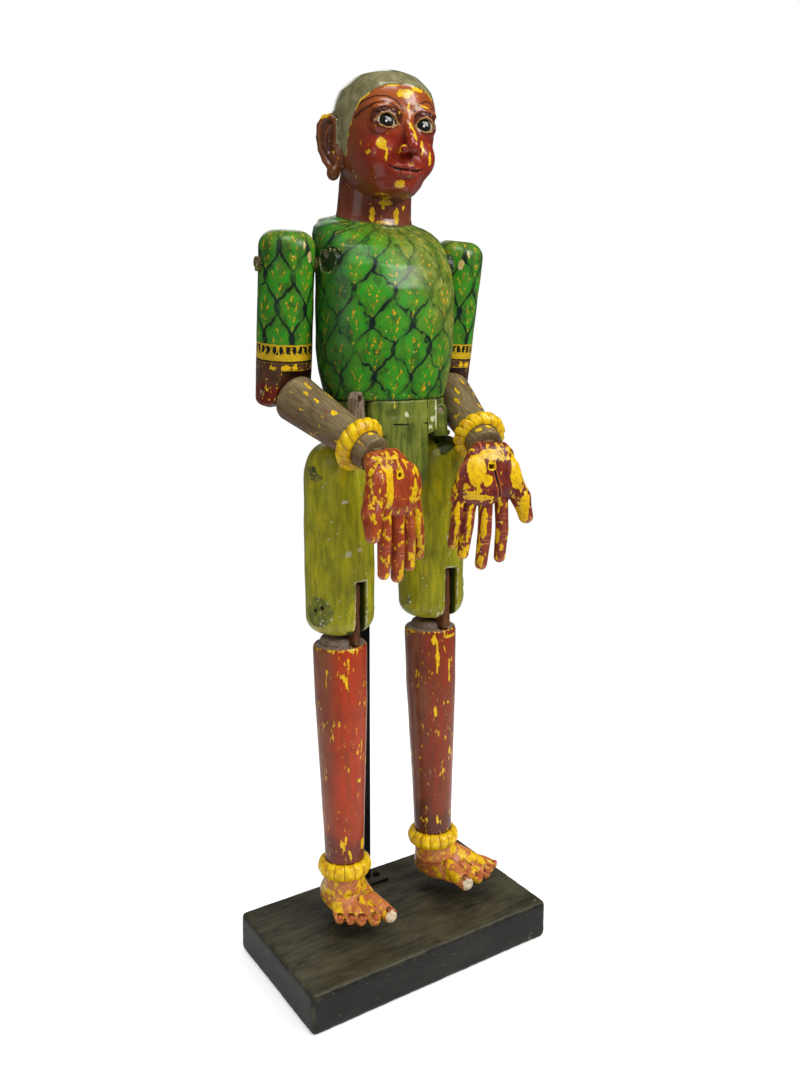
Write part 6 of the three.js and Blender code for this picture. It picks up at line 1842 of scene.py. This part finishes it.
# each foot: rows across it from the toes back (y, half width, height, middle), and toes (root, tip centre, radius)
footShape = {
    "high": 74.2, "voxel": 1.15, "ankle": 26.5,
    "rows": {
        "right": [(-44, 19, 11, -18), (-36, 27, 16, -12), (-28, 31, 25, -7), (-16, 30, 41, -4), (0, 29, 54, -1),
                  (18, 27, 54, 0), (31, 22, 42, 1), (38, 13, 28, 1)],
        "left": [(-46, 26, 11, 40), (-38, 33, 16, 40), (-28, 38, 26, 37), (-16, 34, 41, 26), (0, 28, 54, 12),
                 (18, 24, 52, 6), (31, 18, 40, 5), (38, 11, 26, 5)]},
    "toes": {
        "right": [((-22, -30), (-32, -63), 10.5), ((-9, -30), (-11, -58), 9.0), ((2, -24), (4, -48), 8.0),
                  ((10, -16), (14, -38), 7.6), ((18, -8), (25, -28), 7.2)],
        "left": [((10, -28), (16, -57), 11.0), ((30, -28), (41, -52), 8.2), ((42, -24), (58, -48), 7.8),
                 ((50, -18), (71, -39.5), 7.4), ((58, -10), (84.5, -32), 7.0)]},
    "patches": {
        "right": [((-16, -14, -28), (12, 12, 7)), ((-20, -26, -38), (9, 10, 6)), ((8, -22, -40), (6, 10, 7)),
                  ((24, -18, -56), (5, 14, 9)), ((-6, -38, -46), (4, 8, 5)), ((-14, -44, -50), (4, 8, 4)),
                  ((26, 2, -38), (4, 14, 5)), ((20, -2, -30), (8, 10, 2.5)), ((25, -30, -60), (3, 5, 5))],
        "left": [((22, -14, -30), (10, 12, 8)), ((36, -22, -40), (8, 9, 6)), ((52, -28, -48), (8, 8, 5)),
                 ((4, -40, -56), (6, 18, 8)), ((10, -26, -44), (5, 10, 6)), ((62, -34, -54), (7, 8, 4)),
                 ((44, -44, -56), (6, 8, 4)), ((24, -44, -48), (6, 6, 4))]},
}


def makeFoot(tag, side):
    s = footShape
    sole = -s["high"]
    toes = s["toes"][tag]
    table = np.array(s["rows"][tag], float)
    clay = Clay((-50 if tag == "right" else -34, -84, sole - 4), (42 if tag == "right" else 98, 50, 4), s["voxel"])
    clay.shape(lambda p: discField(np.sqrt(p[0] ** 2 + p[1] ** 2), s["ankle"], p[2], -20, 20, 1), (-28, -28, -42), (28, 28, 1))

    def instep(p):
        y = p[1] + 0 * p[0] * p[2]
        halfX, tall, middle = [np.interp(y, table[:, 0], table[:, k]) for k in (1, 2, 3)]
        across = ovalField([p[0] - middle, p[2] - sole - tall * 0.46], halfX, tall * 0.54, power=2.3)
        return np.maximum(across * 0.85, np.abs(y + 3.5) - 40.5)

    clay.whole(instep, blend=7)
    for (rootX, rootY), (x, y), radius in toes:
        knuckle = (rootX + (x - rootX) * 0.6, rootY + (y - rootY) * 0.6, sole + radius + 4.5)
        clay.line([(rootX, rootY, sole + radius + 12), knuckle, (x, y, sole + radius + 0.6)],
                  [radius * 0.95, radius, radius * 0.95], blend=3)
    for (rootA, tipA, radiusA), (rootB, tipB, radiusB) in zip(toes, toes[1:]):   # the grooves between the toes
        share = radiusA / (radiusA + radiusB)
        near = [a + (b - a) * share for a, b in zip(rootA, rootB)]
        far = [a + (b - a) * share for a, b in zip(tipA, tipB)]
        half = [(a + b) / 2 for a, b in zip(near, far)]
        clay.line([(far[0], far[1] - 4, sole + 6), (half[0], half[1], sole + 15), (near[0], near[1], sole + 28)],
                  [2.0, 1.9, 0.9], cut=True, blend=2)
    clay.whole(lambda p: p[2] - sole + 0 * p[0] * p[1], cut=True, blend=1.5)
    spots = []
    for (rootX, rootY), (x, y), radius in toes:
        way = Vector((x - rootX, y - rootY, 0)).normalized()
        middle = (x + way.x * radius * 0.42, y + way.y * radius * 0.42, sole + radius * 1.55)
        ring = (x + way.x * radius * 0.25, y + way.y * radius * 0.25, sole + radius * 1.78)
        clay.egg(ring, (radius * 0.7, radius * 0.7, radius * 0.4), cut=True, blend=0.5)
        clay.egg(middle, (radius * 0.56, radius * 0.6, radius * 0.42), blend=0.3)
        spots.append((middle, (radius * 0.62, radius * 0.68, radius * 0.62)))
    skin = clay.skin().finished(wobble=0.35, wobbleSize=16, wear=0.3, seed=111)
    p = skin.place
    nails = blobDepth(p, spots)
    (rootX, rootY), (x, y), radius = toes[0]
    bigNail = blobDepth(p, [((x, y - radius * 0.7, sole + radius * 1.1), (radius * 0.95, radius * 0.75, radius * 0.85))])
    chips = blobDepth(p, s["patches"][tag])
    carved(f"foot_{tag}_carving", skin, footFrames[tag], side, finishes["footTan"], f"foot_{tag}",
           [f"foot_{tag}"], {"chips": np.maximum(chips, -9), "nails": np.maximum(nails, bigNail), "bigNail": bigNail,
                             "crack": np.full(len(p), -9.0)})


makeThighs()
makeLegPegs()
makeShins()
for tag, side in sides.items():
    makeFoot(tag, side)
print("legs made")

# Hip links: the right one raw wood, the left one painted like the pelvis

linkShape = {"lugX": 62.5, "lugHalf": 10.5, "lugFront": -41, "lugThick": 13, "pinZ": -17, "plateTop": -44,
             "plateThick": 7, "tongueHalf": 9, "tongueWide": 13, "tongueRadius": 14, "voxel": 1.0}


def makeLinks():
    s = linkShape
    hipLocal = hipAt - waistAt
    for tag, side in sides.items():
        # the right lug has lost its pin: it stands higher, twisted
        raised, forward, outward, twist = (19.5, 5, 8, -24) if tag == "right" else (0, 0, 0, 0)
        clay = Clay((45, -64, -122), (96, 42, 26), s["voxel"])
        low = s["plateTop"] - s["plateThick"]
        clay.block((69, (s["lugFront"] + 13) / 2 + 0, s["plateTop"] - s["plateThick"] / 2), (9.5, 27, 3.5), edge=1.5)
        top = s["pinZ"] + raised
        middleY = s["lugFront"] + s["lugThick"] / 2 - forward
        turn = Matrix.Translation((s["lugX"] + outward, middleY, 0)) @ turned("Z", twist)
        back = np.array(turn.inverted(), float)

        def lug(p):
            q = [back[k, 0] * p[0] + back[k, 1] * p[1] + back[k, 3] for k in range(2)]
            shape = outlineField(q[0] + 0 * p[2], p[2] + 0 * q[0], [(-s["lugHalf"] - 1, low), (s["lugHalf"] + 1, low)]
                                 + arcPoints((0, top), s["lugHalf"], 0, 180, 12))
            body = np.maximum(shape, np.abs(q[1]) - s["lugThick"] / 2)
            hole = np.maximum(np.sqrt(q[0] ** 2 + (p[2] - top - 1) ** 2) - 4.6, np.abs(q[1]) - 30)
            return -softMin(-body, hole, 1.0)

        clay.whole(lug, blend=1.5)
        tongue = arcPoints((0, hipLocal.z), s["tongueRadius"], 180, 360, 10) + [(s["tongueWide"], low + 3), (-s["tongueWide"], low + 3)]
        clay.whole(lambda p: np.maximum(outlineField(p[1], p[2], tongue), np.abs(p[0] - hipLocal.x) - s["tongueHalf"]))
        clay.rod((50, 0, hipLocal.z), (100, 0, hipLocal.z), 9.4, cut=True)
        skin = clay.skin().finished(wobble=0.4, wobbleSize=10, wear=0.8, seed=121)
        carved(f"hipLink_{tag}_wood", skin, waistMove, side, finishes["rawWood" if tag == "right" else "pelvisGreen"], f"hip_link_{tag}",
               [f"hip_link_{tag}"], {"chips": np.full(len(skin.place), -9.0), "crack": np.full(len(skin.place), -9.0)})


makeLinks()
print("hip links made")

# Screws and nails, set out by one tree: a slotted dome at each given point

nailShape = {"head": 3.2, "rise": 1.4}


def nailTree():
    tree = bpy.data.node_groups.new("nailHeads", "GeometryNodeTree")
    tree.interface.new_socket(name="Geometry", in_out="INPUT", socket_type="NodeSocketGeometry")
    for label in ("Radius", "Rise", "Slot"):
        tree.interface.new_socket(name=label, in_out="INPUT", socket_type="NodeSocketFloat")
    tree.interface.new_socket(name="Material", in_out="INPUT", socket_type="NodeSocketMaterial")
    tree.interface.new_socket(name="Geometry", in_out="OUTPUT", socket_type="NodeSocketGeometry")
    t = Tree(tree)
    given = t.put("NodeGroupInput").outputs
    ball = t.put("GeometryNodeMeshUVSphere", {"Segments": 24, "Rings": 12, "Radius": 1.0})
    size = t.join(given["Radius"], given["Radius"], given["Rise"])
    dome = t.put("GeometryNodeTransform", {"Geometry": ball.outputs["Mesh"], "Scale": size})
    position = t.put("GeometryNodeInputPosition").outputs[0]
    x, y, z = t.split(position)
    inSlot = t.math("MULTIPLY", t.math("LESS_THAN", t.math("ABSOLUTE", x), given["Slot"]), t.math("GREATER_THAN", z, 0.0))
    sunk = t.join(x, y, t.math("MULTIPLY", z, t.math("SUBTRACT", 1.0, t.math("MULTIPLY", inSlot, 0.5))))
    slotted = t.put("GeometryNodeSetPosition", {"Geometry": dome.outputs[0], "Position": sunk})
    direction = t.put("GeometryNodeInputNamedAttribute", {"Name": "facing"}, data_type="FLOAT_VECTOR").outputs["Attribute"]
    aim = t.put("FunctionNodeAlignRotationToVector", {"Vector": direction}, axis="Z")
    spread = t.put("GeometryNodeInstanceOnPoints", {"Points": given["Geometry"], "Instance": slotted.outputs[0],
                                                    "Rotation": aim.outputs[0]})
    whole = t.put("GeometryNodeRealizeInstances", {"Geometry": spread.outputs[0]})
    smooth = t.put("GeometryNodeSetShadeSmooth", {"Geometry": whole.outputs[0]})
    coloured = t.put("GeometryNodeSetMaterial", {"Geometry": smooth.outputs[0], "Material": given["Material"]})
    t.put("NodeGroupOutput", {"Geometry": coloured.outputs[0]})
    return tree


nailHeads = nailTree()


# spots are (point, direction) pairs, in millimetres.
def makeNails(name, spots, radius, rise, slot, material, body, replaced=()):
    mesh = bpy.data.meshes.new(name + "Spots")
    mesh.from_pydata([[c * mm for c in point] for point, _ in spots], [], [])
    facing = mesh.attributes.new("facing", "FLOAT_VECTOR", "POINT")
    facing.data.foreach_set("vector", [c for _, direction in spots for c in direction])
    thing = bpy.data.objects.new(name, mesh)
    bpy.context.scene.collection.objects.link(thing)
    modifier = thing.modifiers.new("build", "NODES")
    modifier.node_group = nailHeads
    values = {"Radius": radius * mm, "Rise": rise * mm, "Slot": slot * mm, "Material": finishes[material]}
    for item in nailHeads.interface.items_tree:
        if item.in_out == "INPUT" and item.name in values:
            modifier[item.identifier] = values[item.name]
    graph = bpy.context.evaluated_depsgraph_get()
    solid = bpy.data.meshes.new_from_object(thing.evaluated_get(graph), preserve_all_data_layers=True, depsgraph=graph)
    thing.modifiers.clear()
    thing.data = solid
    return settled(thing, body, replaced)


def makeFastenings():
    screws = []
    for node in ("foot_plate_screw_right", "foot_plate_screw_left"):
        low, high = nodeBox(node)
        screws.append((((low.x + high.x) / 2, (low.y + high.y) / 2, high.z - 1.6), (0, 0, 1)))
    makeNails("footPlateScrewHeads", screws, 5.6, 2.4, 0.8, "blackSteel", "stand_and_pelvis",
              ["foot_plate_screw_right", "foot_plate_screw_left"])
    screws = []
    for node in ("bracket_screw_right", "bracket_screw_left"):
        low, high = nodeBox(node)
        screws.append((((low.x + high.x) / 2, high.y - 1.6, (low.z + high.z) / 2), (0, 1, 0)))
    makeNails("bracketScrewHeads", screws, 5.6, 2.4, 0.8, "screwSteel", "stand_and_pelvis",
              ["bracket_screw_right", "bracket_screw_left"])
    for tag, side in sides.items():
        kneeNails = [((side * (kneeAt.x + 44.2), kneeAt.y - 16, kneeAt.z), (side, -0.3, 0)),
                     ((side * (kneeAt.x + 39.4), kneeAt.y - 26, kneeAt.z + 5), (side, -0.6, 0))]
        makeNails(f"kneeNails_{tag}", kneeNails, nailShape["head"], nailShape["rise"], 0.0, "blackSteel",
                  f"thigh_{tag}")


makeFastenings()
for node, material in (("waist_peg", "rawWood"), ("neck_dowel", "rawWood"), ("elbow_pin_right", "rawWood"),
                       ("elbow_pin_left", "rawWood"), ("wrist_pin_right", "rawWood"), ("wrist_pin_left", "rawWood"),
                       ("hip_spread_pin_right", "rawWood"), ("hip_spread_pin_left", "rawWood"),
                       ("ankle_dowel_right", "rawWood"), ("ankle_dowel_left", "rawWood")):
    shown = frame["nodes"][node]
    for place in shown.material_slots:
        place.material = finishes[material]
print("fastenings made")

# Stage: pale floor, soft light, the photograph's camera

stageSet = {"floor": "f6f6f4", "worldStrength": 0.46, "glossyStrength": 0.05, "unseenGlow": 0.16,
            "fadeFrom": 0.55, "fadeTo": 1.6, "keyPower": 50, "fillPower": 8, "rimPower": 6, "topPower": 14}


def makeFloor():
    mesh = bpy.data.meshes.new("floor")
    reach, low = 90, -0.0004
    mesh.from_pydata([(-reach, -reach, low), (reach, -reach, low), (reach, reach, low), (-reach, reach, low)], [],
                     [(0, 1, 2, 3)])
    floor = bpy.data.objects.new("floor", mesh)
    bpy.context.scene.collection.objects.link(floor)
    material = bpy.data.materials.new("paleFloor")
    material.use_nodes = True
    t = Tree(material.node_tree)
    shader = material.node_tree.nodes["Principled BSDF"]
    away = t.vector("LENGTH", t.put("ShaderNodeTexCoord").outputs["Object"])
    far = t.step(away, stageSet["fadeFrom"], stageSet["fadeTo"])
    t.set(shader.inputs["Base Color"], t.mix(far, tint(stageSet["floor"]), tint("000000")))
    shader.inputs["Roughness"].default_value = 1.0
    shader.inputs["Specular IOR Level"].default_value = 0.0
    shader.inputs["Emission Color"].default_value = (1, 1, 1, 1)
    seen = t.put("ShaderNodeLightPath").outputs["Is Camera Ray"]
    glow = t.math("ADD", t.math("MULTIPLY", far, 0.52), 0.48)
    t.set(shader.inputs["Emission Strength"], t.math("MAXIMUM", t.math("MULTIPLY", seen, glow), stageSet["unseenGlow"]))
    mesh.materials.append(material)


def makeWorld():
    world = bpy.data.worlds.new("studio")
    bpy.context.scene.world = world
    world.use_nodes = True
    t = Tree(world.node_tree)
    background = world.node_tree.nodes["Background"]
    background.inputs["Color"].default_value = (1, 1, 1, 1)
    rays = t.put("ShaderNodeLightPath").outputs
    soft = t.math("SUBTRACT", stageSet["worldStrength"],
                  t.math("MULTIPLY", rays["Is Glossy Ray"], stageSet["worldStrength"] - stageSet["glossyStrength"]))
    strength = t.math("MAXIMUM", rays["Is Camera Ray"], soft)
    t.set(background.inputs["Strength"], strength)


def makeLamp(name, place, size, power, colour="ffffff"):
    lamp = bpy.data.lights.new(name, "AREA")
    lamp.shape = "RECTANGLE"
    lamp.size, lamp.size_y = size
    lamp.energy = power
    lamp.color = tint(colour)[:3]
    thing = bpy.data.objects.new(name, lamp)
    bpy.context.scene.collection.objects.link(thing)
    thing.location = place
    thing.rotation_euler = (Vector((0, 0, 0.65)) - Vector(place)).to_track_quat("-Z", "Y").to_euler()


cameraSet = {"place": (-703.99, -1093.06, 857.42), "yaw": 33.13, "pitch": -6.0, "focal": 973.285,
             "pictureWide": 800, "pictureHigh": 1080, "middleRow": 440}


def makeCamera():
    data = bpy.data.cameras.new("camera")
    camera = bpy.data.objects.new("camera", data)
    bpy.context.scene.collection.objects.link(camera)
    data.sensor_width = 36
    data.lens = cameraSet["focal"] / cameraSet["pictureHigh"] * data.sensor_width
    data.shift_y = (cameraSet["middleRow"] - cameraSet["pictureHigh"] / 2) / cameraSet["pictureHigh"]
    camera.location = Vector(cameraSet["place"]) * mm
    camera.rotation_euler = (math.radians(90 + cameraSet["pitch"]), 0, math.radians(-cameraSet["yaw"]))
    bpy.context.scene.camera = camera


makeFloor()
makeWorld()
makeLamp("keyLamp", (1.1, -2.0, 2.3), (1.1, 1.4), stageSet["keyPower"])
makeLamp("fillLamp", (-2.4, -1.1, 1.5), (1.4, 1.8), stageSet["fillPower"])
makeLamp("rimLamp", (0.6, 2.2, 2.2), (1.4, 1.0), stageSet["rimPower"])
makeLamp("topLamp", (-0.4, -0.7, 2.7), (1.0, 0.6), stageSet["topPower"])
makeCamera()
bpy.context.scene.view_settings.view_transform = "Standard"
print("stage made")
